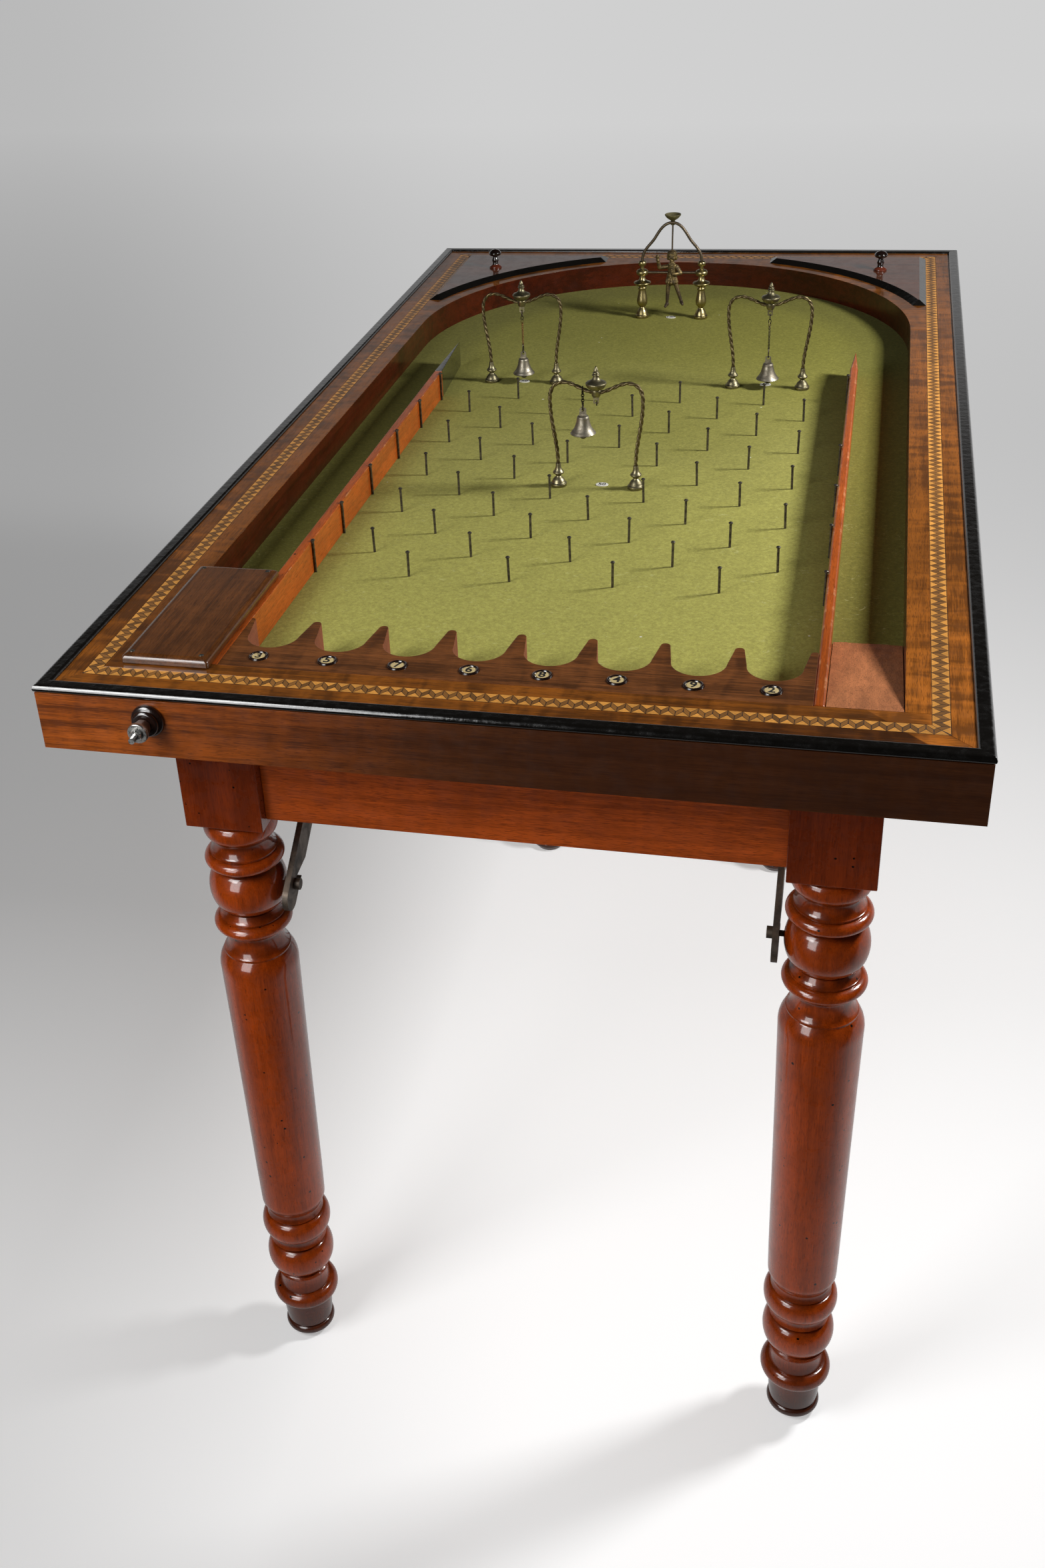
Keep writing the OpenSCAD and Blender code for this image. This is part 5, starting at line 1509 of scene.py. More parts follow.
class BAG_OT_arches(bpy.types.Operator):
    """Twist the arch wires and turn their feet and hubs"""

    bl_idname = "bag.arches"
    bl_label = "Bell arches"

    def execute(self, context):
        arch = context.scene.bag_arch
        feet, hubs = bmesh.new(), bmesh.new()
        foot = softened(
            [
                (0.0, 0.0), (7.6, 0.0), (7.8, 0.4), (7.8, 3.0), (6.9, 3.5), (6.5, 4.0), (6.2, 4.9),
                (5.6, 6.2), (4.7, 7.4), (3.5, 8.6), (2.6, 9.5), (2.3, 10.2), (2.6, 10.9), (3.8, 11.7),
                (5.0, 12.6), (5.4, 13.4), (5.2, 14.2), (4.3, 15.1), (3.3, 16.6), (2.7, 18.6), (2.4, 20.8),
                (2.3, FOOT_H), (0.0, FOOT_H),
            ], 0.25,
        )
        hub = softened(
            [
                (0.0, 88.9), (3.6, 88.9), (4.1, 90.2), (4.6, 94.0), (4.7, 94.8), (4.3, 95.2), (5.4, 95.8),
                (7.6, 97.3), (9.1, 99.4), (9.7, 101.2), (9.6, 102.0), (8.7, 102.8), (6.2, 103.8),
                (4.2, 105.0), (3.0, 106.8), (2.7, 108.6), (3.6, 109.1), (3.7, 109.7), (3.1, 110.2),
                (2.4, 110.6), (3.0, 111.1), (3.0, 111.7), (2.3, 112.2), (1.7, 112.7), (2.2, 113.3),
                (2.0, 114.2), (1.1, 116.4), (0.0, 118.0),
            ], 0.25,
        )
        for x, y, drop in ARCHES.values():
            for sign in (-1, 1):
                turn(feet, foot, (x + sign * HALF_SPAN, y, FIELD_Z), sides=32)
            turn(hubs, hub, (x, y, FIELD_Z - drop), sides=40)
            self.tab(hubs, x, y, FIELD_Z - drop)
        self.loose_hook(hubs)
        finish(
            feet, "arch_feet_turned", "arch_feet", [FINISH["grey_brass"]], ["arch_feet"],
            turned_in=True,
        )
        finish(
            hubs, "arch_hubs_turned", "arch_hubs", [FINISH["grey_brass"], FINISH["chain"]],
            ["arch_hubs"], turned_in=True,
        )
        for name, (x, y, drop) in ARCHES.items():
            halves = []
            for sign in (-1, 1):
                path = [(x + sign * px, y, FIELD_Z + pz) for px, pz in wire_half(drop)]
                edges = [(i, i + 1) for i in range(len(path) - 1)]
                values = {
                    "Strand Radius": arch.strand / MM / 2, "Offset": (ARCH_WIRE_D - arch.strand / MM) / 2,
                    "Twist": arch.twist / MM, "Step": 0.7, "Finish": FINISH["wire"],
                }
                halves.append(grown(STRANDS, path, edges, values))
            node = "arch_wire_" + name
            finish(
                merged(*halves), node + "_twisted", node, [FINISH["wire"]], [node], sharp=60,
                turned_in=True,
            )
        return {"FINISHED"}

    def tab(self, bm, x, y, z):
        """The flat tab under a hub, with its eye."""
        outline = [(-2.75, 89.0), (-2.75, 83.0), (-1.9, 82.0), (1.9, 82.0), (2.75, 83.0), (2.75, 89.0)]
        punched_plate(bm, outline, eye_points(1.4, 84.5, 12), (x, y, z), TAB_T)

    def loose_hook(self, bm):
        """A broken hook hangs in the eye of the centre tab."""
        x, y, _ = ARCHES["centre"]
        path = []
        for degrees in range(100, 391, 15):
            a = math.radians(degrees)
            path.append((x + 0.6, y + 2.1 * math.cos(a), FIELD_Z + 82.4 + 2.1 * math.sin(a)))
        second_finish(bm, lambda: tube(bm, path, 0.42, sides=8))


def wire_half(drop):
    """Half of an arch wire, from its foot to its hub, as distances out and up."""
    bow = HALF_SPAN + 6.5
    rise = [(HALF_SPAN, FOOT_H), (HALF_SPAN, FOOT_H + 22), (bow, ARCH_H - 40), (bow, ARCH_H - 17.5)]
    shoulder = [(bow, ARCH_H - 17.5), (bow, ARCH_H - 5), (HALF_SPAN + 1, ARCH_H), (HALF_SPAN - 7, ARCH_H)]
    dip = [(HALF_SPAN - 7, ARCH_H), (22, ARCH_H), (14, ARCH_H - 7), (4.3, ARCH_H - 9)]
    points = cubic(rise, 24)[:-1] + cubic(shoulder, 16)[:-1] + cubic(dip, 16)
    return [(px, pz - drop * (pz - FOOT_H) / (ARCH_H - FOOT_H)) for px, pz in points]


def eye_points(radius, up, count):
    """Points round an eye, as distances out and up."""
    points = []
    for k in range(count):
        a = 2 * math.pi * k / count
        points.append((radius * math.cos(a), up + radius * math.sin(a)))
    return points


def punched_plate(bm, outline, eye, place, thickness):
    """An upright plate in the XZ plane with one round eye."""
    x, y, z = place
    plate = bmesh.new()
    loops = []
    for loop in (outline, eye):
        verts = [plate.verts.new((x + px, y - thickness / 2, z + pz)) for px, pz in loop]
        loops += [plate.edges.new((verts[k], verts[(k + 1) % len(verts)])) for k in range(len(verts))]
    bmesh.ops.triangle_fill(plate, edges=loops, use_beauty=True)
    made = bmesh.ops.extrude_face_region(plate, geom=plate.faces[:])
    moved = [g for g in made["geom"] if isinstance(g, bmesh.types.BMVert)]
    bmesh.ops.translate(plate, verts=moved, vec=(0, thickness, 0))
    bmesh.ops.recalc_face_normals(plate, faces=plate.faces)
    mesh = bpy.data.meshes.new("plate")
    plate.to_mesh(mesh)
    plate.free()
    bm.from_mesh(mesh)


class BAG_OT_bells(bpy.types.Operator):
    """Hang the chains, bells and clappers"""

    bl_idname = "bag.bells"
    bl_label = "Chains and bells"

    def execute(self, context):
        for name in ARCHES:
            self.chain(name)
            self.bell(name)
        return {"FINISHED"}

    def chain(self, name):
        """Long links at the top, fine links down to a long hook through the bell's tab."""
        node = "chain_" + name
        low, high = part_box(node)
        x, y = (low.x + high.x) / 2 / MM, (low.y + high.y) / 2 / MM - TABLE_Y
        top, bottom = high.z / MM - 0.5, low.z / MM + 0.6
        bm = bmesh.new()

        def link(start, tall, half, wire, degrees, kind=0):
            before = len(bm.faces)
            points = link_points((x, y, start - tall / 2), half, tall / 2, degrees)
            tube(bm, points, wire, sides=8, closed=True)
            bm.faces.ensure_lookup_table()
            for face in bm.faces[before:]:
                face.material_index = kind

        if name == "centre":
            rows, fine = [(6.0, 2.5, 0.5, 90, 0)], (2.5, 1.35, 0.42, 0)
            hook = 6.0
        else:
            rows = [(6.6, 2.4, 0.42, 90, 0), (4.8, 1.3, 0.42, 10, 0), (4.6, 1.8, 0.45, 60, 2)]
            fine = (1.75, 1.0, 0.3, 1 if name == "left" else 0)
            hook = 10.0
        start = top
        for tall, half, wire, degrees, kind in rows:
            link(start, tall, half, wire, degrees, kind)
            start -= tall - 2 * wire
        pitch, half, wire, kind = fine
        end = bottom + hook - 2 * wire
        count = round((start - end) / pitch)
        pitch = (start - end) / count
        for k in range(count):
            link(start - k * pitch + wire, pitch + 2 * wire, half, wire, 40 if k % 2 else 130, kind)
        link(bottom + hook, hook, 2.5, 0.5, 90)
        finish(
            bm, node + "_links", node, [FINISH["chain"], FINISH["copper"], FINISH["brass"]],
            [node], turned_in=True,
        )

    def bell(self, name):
        """A hollow bell with a pierced tab and an inner bar, and the clapper that hangs from the bar."""
        low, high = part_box("bell_" + name)
        x, y, z = (low.x + high.x) / 2 / MM, (low.y + high.y) / 2 / MM - TABLE_Y, low.z / MM
        skin = [
            (11.9, 0.0), (12.0, 0.4), (11.7, 0.8), (10.9, 1.7), (10.8, 2.0), (10.2, 2.6), (9.1, 4.1),
            (8.0, 6.1), (7.1, 8.4), (6.4, 11.0), (5.9, 13.4), (5.6, 15.0), (5.6, 15.3), (5.35, 15.7),
            (5.2, 16.3), (4.9, 16.8),
        ]
        inner = [
            (10.9, 0.0), (9.6, 1.8), (7.9, 4.2), (6.6, 7.5), (5.2, 11.2), (4.3, 15.0), (3.2, 16.0),
            (0.0, 16.3),
        ]
        outline = inner[::-1] + skin + [(3.6, 17.3), (0.0, 17.5)]
        bm = turn(bmesh.new(), outline, (x, y, z), sides=56)
        tab = [(-3.5, 17.0), (3.5, 17.0), (2.9, 23.8), (2.2, 24.7), (-2.2, 24.7), (-2.9, 23.8)]
        punched_plate(bm, tab, eye_points(1.5, 22.5, 15), (x, y, z), TAB_T)
        bar = z + BELL_BAR_UP
        tube(bm, [(x - 5.4, y, bar), (x, y, bar), (x + 5.4, y, bar)], 0.5, sides=8)
        finish(
            bm, f"bell_{name}_cast", "bell_" + name, [FINISH["bell"]], ["bell_" + name],
            sharp=42, turned_in=True,
        )
        bm = bmesh.new()
        tube(bm, link_points((x, y, bar), 1.2, 1.2, 90), 0.4, sides=8, closed=True)
        outline = [
            (0.0, -5.25), (1.8, -4.9), (3.2, -3.9), (4.1, -2.3), (4.25, -1.0), (4.0, 0.5), (3.0, 2.0),
            (1.6, 3.0), (0.7, 3.6), (0.6, 5.0), (0.6, 12.2), (0.0, 12.3),
        ]
        turn(bm, outline, (x, y, z), sides=28)
        finish(
            bm, f"clapper_{name}_cast", "clapper_" + name, [FINISH["clapper"]], ["clapper_" + name],
            turned_in=True,
        )


def link_points(place, half, tall, degrees, count=24):
    """Points round an upright link: half its width, half its height, and the turn of its plane."""
    x, y, z = place
    turned = math.radians(degrees)
    points = []
    for k in range(count):
        a = 2 * math.pi * k / count
        across = half * math.cos(a)
        points.append((x + across * math.cos(turned), y + across * math.sin(turned), z + tall * math.sin(a)))
    return points


class BAG_OT_figure(bpy.types.Operator):
    """Turn the figure frame and model the small figure"""

    bl_idname = "bag.figure"
    bl_label = "Figure frame"

    def execute(self, context):
        x, y = FIGURE
        column = softened(
            [
                (0.0, 0.0), (8.0, 0.0), (8.2, 0.4), (8.2, 3.4), (7.3, 3.9), (6.9, 4.6), (6.6, 6.2),
                (5.8, 8.2), (4.6, 10.4), (3.1, 12.4), (3.0, 13.2), (4.4, 14.6), (5.8, 16.6), (6.5, 19.4),
                (6.5, 21.6), (5.9, 25.0), (4.9, 29.6), (4.1, 34.4), (4.9, 35.0), (5.2, 36.2), (4.9, 37.4),
                (4.3, 37.9), (5.6, 38.8), (8.6, 40.8), (10.3, 42.4), (10.5, 43.0), (10.1, 43.7), (7.4, 44.6),
                (4.8, 45.8), (3.7, 47.6), (3.4, 50.6),
            ], 0.3,
        )
        column += bulge(PIVOT_UP - 3.6, PIVOT_UP + 3.6, 3.4, 7.4)
        column += [(2.5, 60.0), (2.4, 62.8)] + bulge(63.6, COLUMN_H - 0.3, 2.6, 4.9) + [(0.0, COLUMN_H)]
        bm = bmesh.new()
        for sign in (-1, 1):
            turn(bm, column, (x + sign * COLUMN_SPAN / 2, y, FIELD_Z), sides=40)
        bar = [(x + t * (COLUMN_SPAN / 2 - 4), y, FIELD_Z + PIVOT_UP) for t in (-1, -0.5, 0, 0.5, 1)]
        second_finish(bm, lambda: tube(bm, bar, 1.5, sides=16))
        finish(
            bm, "figure_columns_turned", "figure_stand", [FINISH["brass"], FINISH["rod"]],
            ["figure_stand"], turned_in=True,
        )
        half = cubic([(36, 70), (36, 83), (26, 88), (20, 98)], 18)[:-1]
        half += cubic([(20, 98), (14, 108), (9, 115), (0, 115)], 18)
        path = [(x + px, y, FIELD_Z + pz) for px, pz in half]
        path += [(x - px, y, FIELD_Z + pz) for px, pz in half[-2::-1]]
        bm = tube(bmesh.new(), path, 1.75, sides=16)
        finish(
            bm, "figure_arch_bent", "figure_arch", [FINISH["rod"]], ["figure_arch"],
            turned_in=True,
        )
        self.dish(x, y)
        self.figure(x, y)
        return {"FINISHED"}

    def dish(self, x, y):
        """The dish above the arch, on its thin rod."""
        back = y + 2.7 / 2 + 2.1 + 0.6
        outline = softened(
            [
                (0.0, 111.5), (2.4, 111.5), (2.6, 112.0), (2.5, 116.4), (3.4, 117.4), (6.4, 119.2),
                (9.2, 122.2), (9.8, 123.8), (9.5, 124.2), (8.8, 123.4), (6.4, 120.8), (3.2, 119.2),
                (0.0, 118.8),
            ], 0.3,
        )
        bm = turn(bmesh.new(), outline, (x, back, FIELD_Z), sides=40)
        stem = [
            (x, y + 1.5, FIELD_Z + 81.5), (x, y + 2.6, FIELD_Z + 95), (x, back, FIELD_Z + 106),
            (x, back, FIELD_Z + 113),
        ]
        second_finish(bm, lambda: tube(bm, stem, 1.0, sides=12))
        finish(
            bm, "figure_dish_turned", "figure_dish", [FINISH["dull_brass"], FINISH["rod"]],
            ["figure_dish"], turned_in=True,
        )

    def figure(self, x, y):
        """A small calm figure in a belted tunic, with bobbed hair and one hand raised, of merged forms."""
        bm = bmesh.new()
        blob(bm, (0, 0, 75.4), 6.0, (0.84, 0.92, 1.08))
        blob(bm, (0, 1.3, 78.0), 6.9, (1.0, 0.95, 0.8))
        for sign in (-1, 1):
            blob(bm, (sign * 5.0, 1.0, 73.8), 2.7, (0.8, 1.1, 1.3))
            blob(bm, (sign * 1.9, -4.75, 75.7), 0.9, (1.2, 0.6, 0.75))
            blob(bm, (sign * 2.0, -4.9, 77.2), 0.8, (1.6, 0.5, 0.5))
            blob(bm, (sign * 2.4, -4.3, 73.6), 1.8, (1, 0.6, 1))
        blob(bm, (0, -5.4, 74.6), 0.85, (0.8, 0.9, 1.7))
        blob(bm, (0, -4.75, 72.2), 1.0, (1.5, 0.6, 0.5))
        blob(bm, (0, -4.2, 70.4), 1.6, (1.1, 0.8, 0.9))
        blob(bm, (0, 2.2, 74.0), 5.4, (0.96, 0.9, 1.1))
        for k in range(17):
            a = math.radians(200 + 140 * k / 16)
            for ring, z in ((5.9, 78.6), (6.5, 80.2)):
                lock = (0.95 * ring * math.cos(a), 1.4 + 0.92 * ring * math.sin(a), z)
                blob(bm, lock, 0.8, (0.7, 0.8, 1.6))
        bmesh.ops.scale(bm, verts=bm.verts, vec=(0.92, 0.92, 0.92), space=Matrix.Translation((0, 0, -68.0)))
        limb(bm, (0, 0, 70), (0, 0, 64), 2.6, 3.0)
        limb(bm, (0, 0, 64.0), (0, 0, 56.0), 4.7, 4.9)
        limb(bm, (-3.9, 0, 63.0), (3.9, 0, 63.0), 2.8, 2.8)
        limb(bm, (0, 0, 57.5), (0, 0, 50.0), 4.5, 5.7)
        for k in range(12):
            a = 2 * math.pi * k / 12
            fold, hem = (
                4.8 * math.cos(a), 4.0 * math.sin(a), 51.5,
            ), (6.6 * math.cos(a), 5.6 * math.sin(a), 44.0)
            limb(bm, fold, hem, 1.1, 1.5)
        limb(bm, (0, 0, 51), (0, 0, 45), 5.0, 5.5)
        for k in range(16):
            a = 2 * math.pi * k / 16
            blob(bm, (5.1 * math.cos(a), 4.7 * math.sin(a), 52.6), 1.0)
        for k in range(5):
            blob(bm, (0, -4.8 - 0.1 * k, 64.5 - 2.4 * k), 0.75)
        limb(bm, (-3.0, -3.2, 66.4), (3.0, -3.2, 66.4), 1.1, 1.1)
        limb(bm, (-5.5, 0, 62.5), (-15, -1, 61.5), 2.7, 2.3)
        limb(bm, (-15, -1, 61.5), (-17, -3, 72.5), 2.4, 1.9)
        blob(bm, (-17.2, -3.2, 75.0), 2.2, (1.1, 0.9, 1.2))
        blob(bm, (-16.9, -3.0, 70.8), 2.5, (1, 1, 0.6))
        limb(bm, (5.5, 0, 62.5), (11, -2, 55.5), 2.8, 2.4)
        limb(bm, (11, -2, 55.5), (4.4, -6.8, 55), 2.4, 1.9)
        blob(bm, (2.8, -7.2, 55.2), 2.1)
        for hip, knee, ankle, toe in (
            ((-3.4, 0, 46), (-4.6, -0.8, 31.5), (-5.5, 0, 17), (-6.7, -5.6, 15.2)),
            ((3.4, 0, 46), (7.9, -0.8, 32.5), (12, 0, 20), (14.0, -5.4, 18.2)),
        ):
            limb(bm, hip, knee, 3.1, 2.4)
            limb(bm, knee, ankle, 2.4, 1.7)
            limb(bm, ankle, toe, 2.2, 1.7)
            blob(bm, (ankle[0], ankle[1] + 0.9, ankle[2] - 0.6), 2.3)
        bm.transform(Matrix.Translation((x, y, FIELD_Z)))
        mesh = bpy.data.meshes.new("figure forms")
        bm.to_mesh(mesh)
        bm.free()
        thing = bpy.data.objects.new("figure forms", mesh)
        bpy.context.scene.collection.objects.link(thing)
        remesh = thing.modifiers.new("Merge", "REMESH")
        remesh.mode = "VOXEL"
        remesh.voxel_size = 0.36
        smooth = thing.modifiers.new("Soften", "SMOOTH")
        smooth.factor = 0.5
        smooth.iterations = 2
        evaluated = thing.evaluated_get(bpy.context.evaluated_depsgraph_get())
        solid = bpy.data.meshes.new_from_object(evaluated)
        bpy.data.objects.remove(thing)
        bm = bmesh.new()
        bm.from_mesh(solid)
        finish(bm, "figure_modelled", "figure", [FINISH["figure"]], ["figure"], sharp=80)


def second_finish(bm, add):
    """Gives what add() makes the second finish."""
    before = len(bm.faces)
    add()
    bm.faces.ensure_lookup_table()
    for face in bm.faces[before:]:
        face.material_index = 1


def blob(bm, centre, radius, squash=(1, 1, 1)):
    """Adds a ball, squashed along the axes."""
    shape = Matrix.Translation(centre) @ Matrix.Diagonal((*squash, 1.0))
    bmesh.ops.create_uvsphere(bm, u_segments=20, v_segments=12, radius=radius, matrix=shape)


def limb(bm, a, b, ra, rb):
    """Adds a rod with round ends that tapers from a to b."""
    a, b = Vector(a), Vector(b)
    path, radii = [a], [ra]
    for i in range(1, 5):
        path.append(a.lerp(b, i / 5))
        radii.append(ra + (rb - ra) * i / 5)
    tube(bm, path + [b], radii + [rb], sides=16)
    blob(bm, a, ra)
    blob(bm, b, rb)


LEG_TOP = 626.6
LEG_OUTLINE = (
    [(0.0, 0.0), (17.6, 0.0), (18.6, 1.2), (19.5, 4.0)] + bulge(5.5, 14.5, 20.8, 24.3)
    + [(22.0, 15.6), (22.6, 17.0), (23.5, 29.0), (24.6, 45.0), (25.2, 46.4)]
    + bulge(48, 66, 24.6, 32.0, 10) + [(25.0, 67.2), (23.8, 73.0), (23.8, 81.0), (25.2, 87.0), (27.2, 91.0)]
    + bulge(93, 126, 24.0, 32.2, 10) + [
        (25.0, 127.4), (27.0, 129.0), (25.6, 131.5), (25.2, 134.0), (26.4, 137.4),
    ]
    + bulge(140, 164, 26.4, 32.9, 10) + [
        (27.2, 165.4), (25.8, 168.6), (25.6, 172.0), (27.0, 177.5), (29.2, 180.6),
    ]
    + [
        (30.2, 182.0), (30.4, 186.0), (30.9, 212.0), (32.0, 300.0), (33.4, 400.0), (34.5, 466.0),
        (34.6, 470.0),
    ]
    + [
        (34.2, 474.0), (33.2, 478.0), (31.6, 481.6), (30.0, 484.0), (29.2, 485.0), (29.2, 486.6),
        (28.2, 487.2),
    ]
    + [(26.4, 489.6), (25.0, 493.6), (24.4, 498.0), (24.4, 503.0), (25.4, 506.6), (26.8, 508.8)]
    + bulge(510.0, 522.0, 27.0, 34.0, 10) + [
        (28.4, 522.4), (28.4, 523.8), (27.2, 524.4), (25.2, 527.0), (24.0, 530.2),
    ]
    + bulge(531.2, 574.6, 21.0, 33.6, 8) + [(25.4, 575.4)]
    + bulge(576.6, 588.4, 27.4, 34.0, 10) + [
        (28.6, 588.8), (28.6, 590.4), (27.4, 591.0), (25.8, 593.6), (24.8, 597.4),
    ]
    + [(24.6, 600.6), (25.4, 603.6), (27.0, 605.4)]
    + bulge(606.4, 622.4, 28.0, 31.6, 10) + [(29.4, 623.0), (29.4, LEG_TOP + 1), (0.0, LEG_TOP + 1)]
)
LEGS = {
    "front_left_leg": (-242.0, -515.5), "front_right_leg": (242.0, -515.5),
    "rear_left_leg": (-163.0, 374.0), "rear_right_leg": (163.0, 374.0),
}


class BAG_OT_stand(bpy.types.Operator):
    """Turn the legs and dress the aprons"""

    bl_idname = "bag.stand"
    bl_label = "Legs and aprons"

    def execute(self, context):
        for name, (x, y) in LEGS.items():
            bm = turn(bmesh.new(), LEG_OUTLINE, (x, y, 0), sides=72, hollow=9.0)
            bmesh.ops.recalc_face_normals(bm, faces=bm.faces)
            block = bmesh.new()
            left, right, near, far = (
                x - LEG_BLOCK_HALF, x + LEG_BLOCK_HALF, y - LEG_BLOCK_HALF, y + LEG_BLOCK_HALF,
            )
            square = [(left, near), (right, near), (right, far), (left, far)]
            prism(block, square, LEG_TOP, STAND_H)
            round_edges(block, 0.9, segments=3)
            finish(
                merged(block, bm), name + "_turned", name, [FINISH["leg"]], [name],
                flat=True, grain="Z",
            )
        for node in ("front_apron", "rear_apron"):
            bm = round_edges(cad_copy(node), 0.8)
            finish(bm, node + "_dressed", node, [FINISH["apron"]], [node], flat=True)
        return {"FINISHED"}


class BAG_OT_irons(bpy.types.Operator):
    """Dress the hinges, studs, stays, brackets and pins"""

    bl_idname = "bag.irons"
    bl_label = "Stand irons"

    def execute(self, context):
        widths = {
            "fixed_hinge_leaves": 0.25, "front_irons": 0.4, "rear_irons": 0.4, "front_stays": 0.6,
            "rear_stays": 0.6, "stay_brackets": 0.2, "stand_pins": 0.3,
        }
        for node, width in widths.items():
            bm = round_edges(cad_copy(node), width, least=40)
            finish(bm, node + "_dressed", node, [FINISH["black_iron"]], [node], flat=True)
        return {"FINISHED"}


class BAG_OT_stage(bpy.types.Operator):
    """Set the floor, the lamps and the camera"""

    bl_idname = "bag.stage"
    bl_label = "Stage"

    def execute(self, context):
        self.floor()
        self.lamps(context.scene.bag_stage)
        self.camera(context.scene.bag_stage)
        context.scene.view_settings.view_transform = "Standard"
        return {"FINISHED"}

    def floor(self):
        """A wide pale floor that fades to grey with distance, with a painted shadow of the table on its left;
        it glows as a painted fill light, and glossy rays see only a painted reflection of it.
        """
        bm = bmesh.new()
        bmesh.ops.create_circle(bm, cap_ends=True, segments=96, radius=60.0)
        mesh = bpy.data.meshes.new("studio_floor")
        bm.to_mesh(mesh)
        bm.free()
        floor = bpy.data.objects.new("studio_floor", mesh)
        bpy.context.scene.collection.objects.link(floor)
        material, tree, shader, place = blank("Studio floor")
        spot = put(tree, "ShaderNodeSeparateXYZ", {0: place})
        back = put(tree, "ShaderNodeMapRange", {"Value": spot.outputs[1], "From Min": -1.5, "From Max": 6.0})
        # The left ramp is darker than the right one, with its deepest dip level with the table: a painted
        # shadow of the table cast by the right lamp.
        left = ramp(tree, back.outputs[0], (
            (0.0, paint(193, 193, 193)), (0.13, paint(197, 197, 197)), (0.22, paint(157, 157, 157)),
            (0.45, paint(182, 182, 182)), (1.0, paint(224, 224, 224)),
        ))
        right = ramp(tree, back.outputs[0], (
            (0.0, paint(232, 232, 232)), (0.12, paint(230, 230, 230)), (0.22, paint(205, 205, 205)),
            (0.45, paint(224, 224, 224)), (1.0, paint(253, 253, 253)),
        ))
        spread = maths(tree, "MAXIMUM", maths(tree, "ADD", spot.outputs[1], 1.56), 0.5)
        wedge = maths(tree, "DIVIDE", maths(tree, "SUBTRACT", spot.outputs[0], 0.24), spread)
        across = stepped(tree, wedge, -0.55, -0.2)
        colour = blended(tree, across, left, right)
        shader.inputs["Base Color"].default_value = (0.8, 0.8, 0.8, 1.0)
        shader.inputs["Specular IOR Level"].default_value = 0.0
        shader.inputs["Roughness"].default_value = 0.8
        rays = tree.nodes.new("ShaderNodeLightPath")
        # The camera sees the floor glow at 0.6; every other ray sees a glow of 0.24, a painted fill light
        # thrown up from the floor.
        share = maths(tree, "MULTIPLY_ADD", rays.outputs["Is Camera Ray"], 0.36, 0.24)
        glow = put(tree, "ShaderNodeEmission", {"Color": colour, "Strength": share})
        both = put(tree, "ShaderNodeAddShader")
        tree.links.new(shader.outputs[0], both.inputs[0])
        tree.links.new(glow.outputs[0], both.inputs[1])
        # Glossy rays see only a painted reflection of the floor, bright under the table and nearly dark in
        # front of it.
        painted_reflection_level = stepped(tree, spot.outputs[1], -1.0, -0.35, 0.01, 0.7)
        painted_floor_reflection = put(tree, "ShaderNodeEmission", {"Color": colour, "Strength": painted_reflection_level})
        mix = put(tree, "ShaderNodeMixShader", {0: rays.outputs["Is Glossy Ray"]})
        tree.links.new(both.outputs[0], mix.inputs[1])
        tree.links.new(painted_floor_reflection.outputs[0], mix.inputs[2])
        tree.links.new(mix.outputs[0], tree.nodes["Material Output"].inputs["Surface"])
        mesh.materials.append(material)

    def lamps(self, stage):
        """A soft lamp on the right behind, one at the left in front, and an even room."""
        for name, place, aim, size, power in (
            ("Right lamp", (0.95, 0.035, 1.40), (0.0, 0.0, 0.78), (0.22, 0.22), stage.right_lamp),
            ("Left lamp", (-0.69, -1.22, 1.43), (0.0, -0.3, 0.6), (0.55, 0.6), stage.left_lamp),
            ("Window", (-0.60, -1.56, 0.96), (-0.1, -0.5, 0.6), (0.58, 1.0), stage.shine),
        ):
            data = bpy.data.lights.new(name, "AREA")
            data.shape = "RECTANGLE"
            data.size, data.size_y = size
            data.energy = power
            lamp = bpy.data.objects.new(name, data)
            bpy.context.scene.collection.objects.link(lamp)
            lamp.visible_diffuse = name != "Window"
            lamp.location = place
            lamp.rotation_euler = (Vector(place) - Vector(aim)).to_track_quat("Z", "Y").to_euler()
        world = bpy.data.worlds.new("Studio")
        bpy.context.scene.world = world
        world.use_nodes = True
        tree = world.node_tree
        ground = tree.nodes["Background"]
        ground.inputs["Color"].default_value = (1.0, 1.0, 1.0, 1.0)
        ground.inputs["Strength"].default_value = stage.room
        place = tree.nodes.new("ShaderNodeTexCoord")
        way = put(tree, "ShaderNodeSeparateXYZ", {0: place.outputs["Generated"]})
        level = maths(tree, "MULTIPLY_ADD", way.outputs[0], 0.11, way.outputs[2])
        beyond = stepped(tree, way.outputs[1], -0.1, 0.5)
        wall = maths(tree, "MULTIPLY", stepped(tree, level, 0.25, 0.4, 1.0, 0.0), beyond)
        glow = maths(tree, "MULTIPLY_ADD", wall, 0.33, 0.004)
        mirrored = put(tree, "ShaderNodeBackground", {"Color": (1.0, 1.0, 1.0, 1.0), "Strength": glow})
        seen = put(tree, "ShaderNodeBackground", {"Color": paint(215, 215, 215), "Strength": 1.0})
        rays = tree.nodes.new("ShaderNodeLightPath")
        first = put(tree, "ShaderNodeMixShader", {0: rays.outputs["Is Glossy Ray"]})
        tree.links.new(ground.outputs[0], first.inputs[1])
        tree.links.new(mirrored.outputs[0], first.inputs[2])
        second = put(tree, "ShaderNodeMixShader", {0: rays.outputs["Is Camera Ray"]})
        tree.links.new(first.outputs[0], second.inputs[1])
        tree.links.new(seen.outputs[0], second.inputs[2])
        tree.links.new(second.outputs[0], tree.nodes["World Output"].inputs["Surface"])

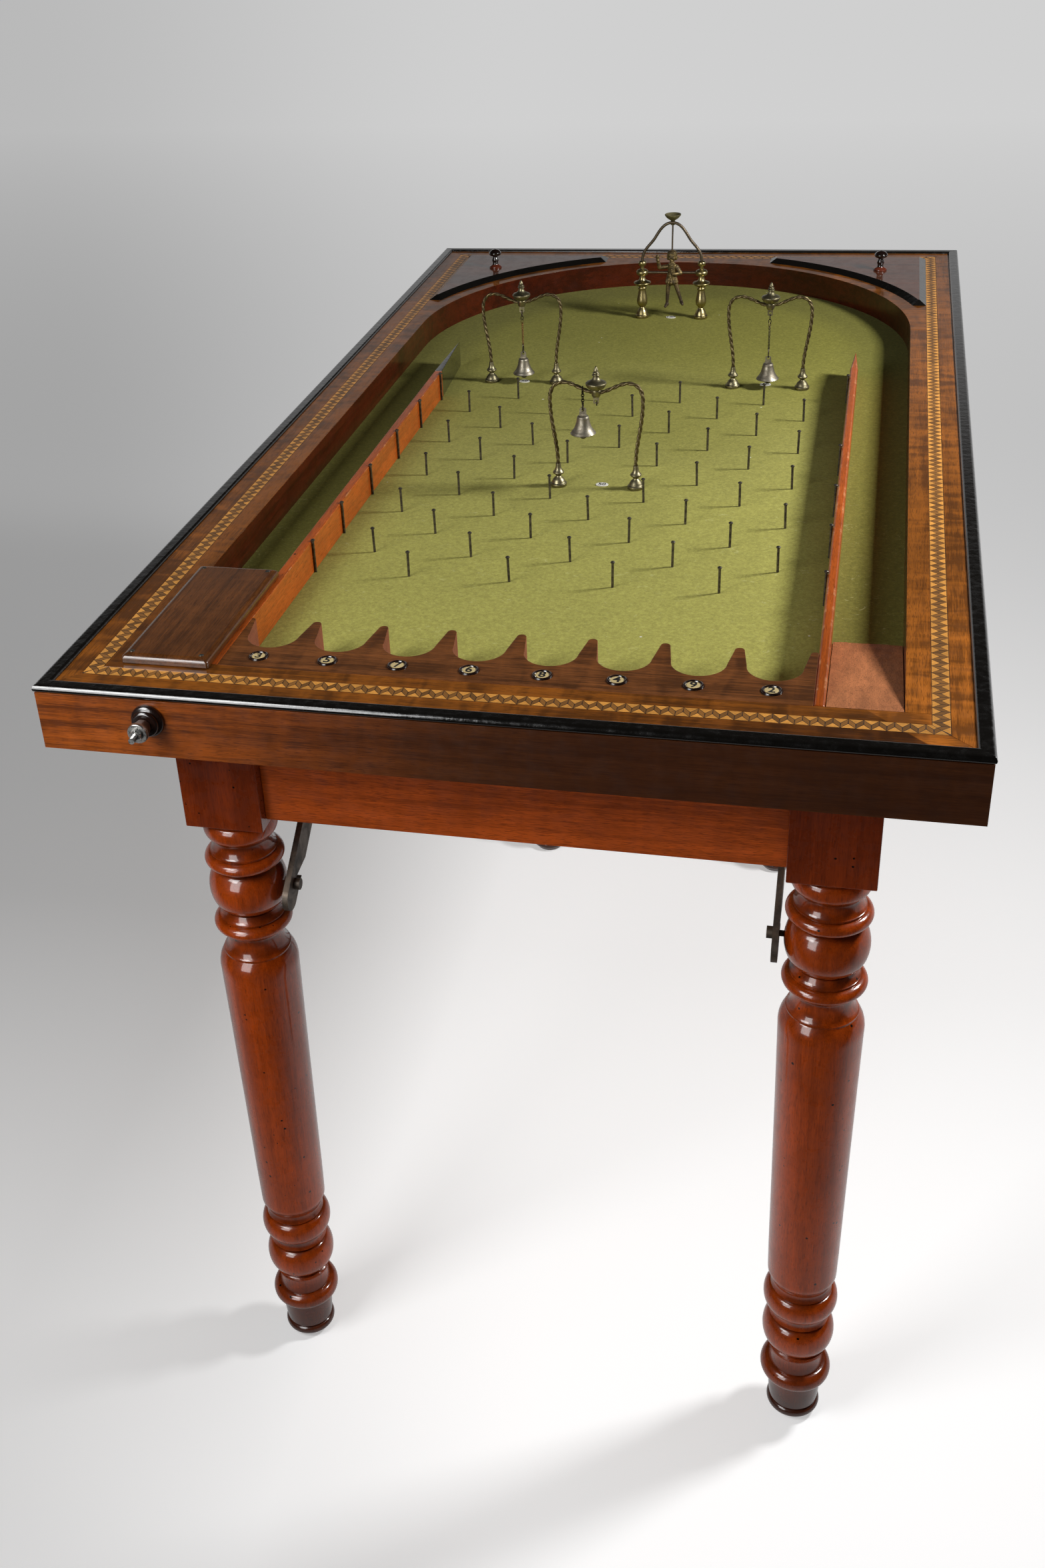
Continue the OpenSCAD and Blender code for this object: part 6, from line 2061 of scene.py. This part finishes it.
    def camera(self, stage):
        """The camera stands at the photograph's place and angle."""
        data = bpy.data.cameras.new("Camera")
        data.sensor_width = 36.0
        data.lens = stage.lens
        data.shift_x, data.shift_y = CAMERA_SHIFT
        data.clip_end = 200.0
        camera = bpy.data.objects.new("Camera", data)
        bpy.context.scene.collection.objects.link(camera)
        turn_by = Vector(CAMERA_TURN)
        to_camera = Matrix.Rotation(turn_by.length, 3, turn_by)
        axes = Matrix((to_camera[0], -to_camera[1], -to_camera[2])).transposed()
        camera.matrix_world = Matrix.Translation(CAMERA_PLACE) @ axes.to_4x4()
        bpy.context.scene.camera = camera


class BAG_PT_panel(bpy.types.Panel):
    """Lists the pieces of the bagatelle table"""

    bl_idname = "BAG_PT_panel"
    bl_label = "Bagatelle table"
    bl_space_type = "VIEW_3D"
    bl_region_type = "UI"
    bl_category = "Bagatelle"

    def draw(self, context):
        for settings in SETTINGS:
            group = getattr(context.scene, settings)
            box = self.layout.box()
            for name in group.bl_rna.properties.keys():
                if name not in ("rna_type", "name"):
                    box.prop(group, name)
        for operator in OPERATORS:
            self.layout.operator(operator.bl_idname)


OPERATORS = (
    BAG_OT_case, BAG_OT_deck, BAG_OT_field, BAG_OT_lanes, BAG_OT_nails, BAG_OT_lids, BAG_OT_plunger,
    BAG_OT_arches, BAG_OT_bells, BAG_OT_figure, BAG_OT_stand, BAG_OT_irons, BAG_OT_stage,
)
SETTINGS = {
    "bag_case": CaseSettings, "bag_field": FieldSettings, "bag_arch": ArchSettings,
    "bag_stand": StandSettings, "bag_stage": StageSettings,
}


def register():
    for name, settings in SETTINGS.items():
        bpy.utils.register_class(settings)
        setattr(bpy.types.Scene, name, bpy.props.PointerProperty(type=settings))
    for operator in OPERATORS:
        bpy.utils.register_class(operator)
    bpy.utils.register_class(BAG_PT_panel)


def unregister():
    bpy.utils.unregister_class(BAG_PT_panel)
    for operator in reversed(OPERATORS):
        bpy.utils.unregister_class(operator)
    for name, settings in SETTINGS.items():
        delattr(bpy.types.Scene, name)
        bpy.utils.unregister_class(settings)


def main():
    register()
    FINISH.update(finishes())
    for operator in OPERATORS:
        group, name = operator.bl_idname.split(".")
        getattr(getattr(bpy.ops, group), name)()


if __name__ == "__main__":
    main()
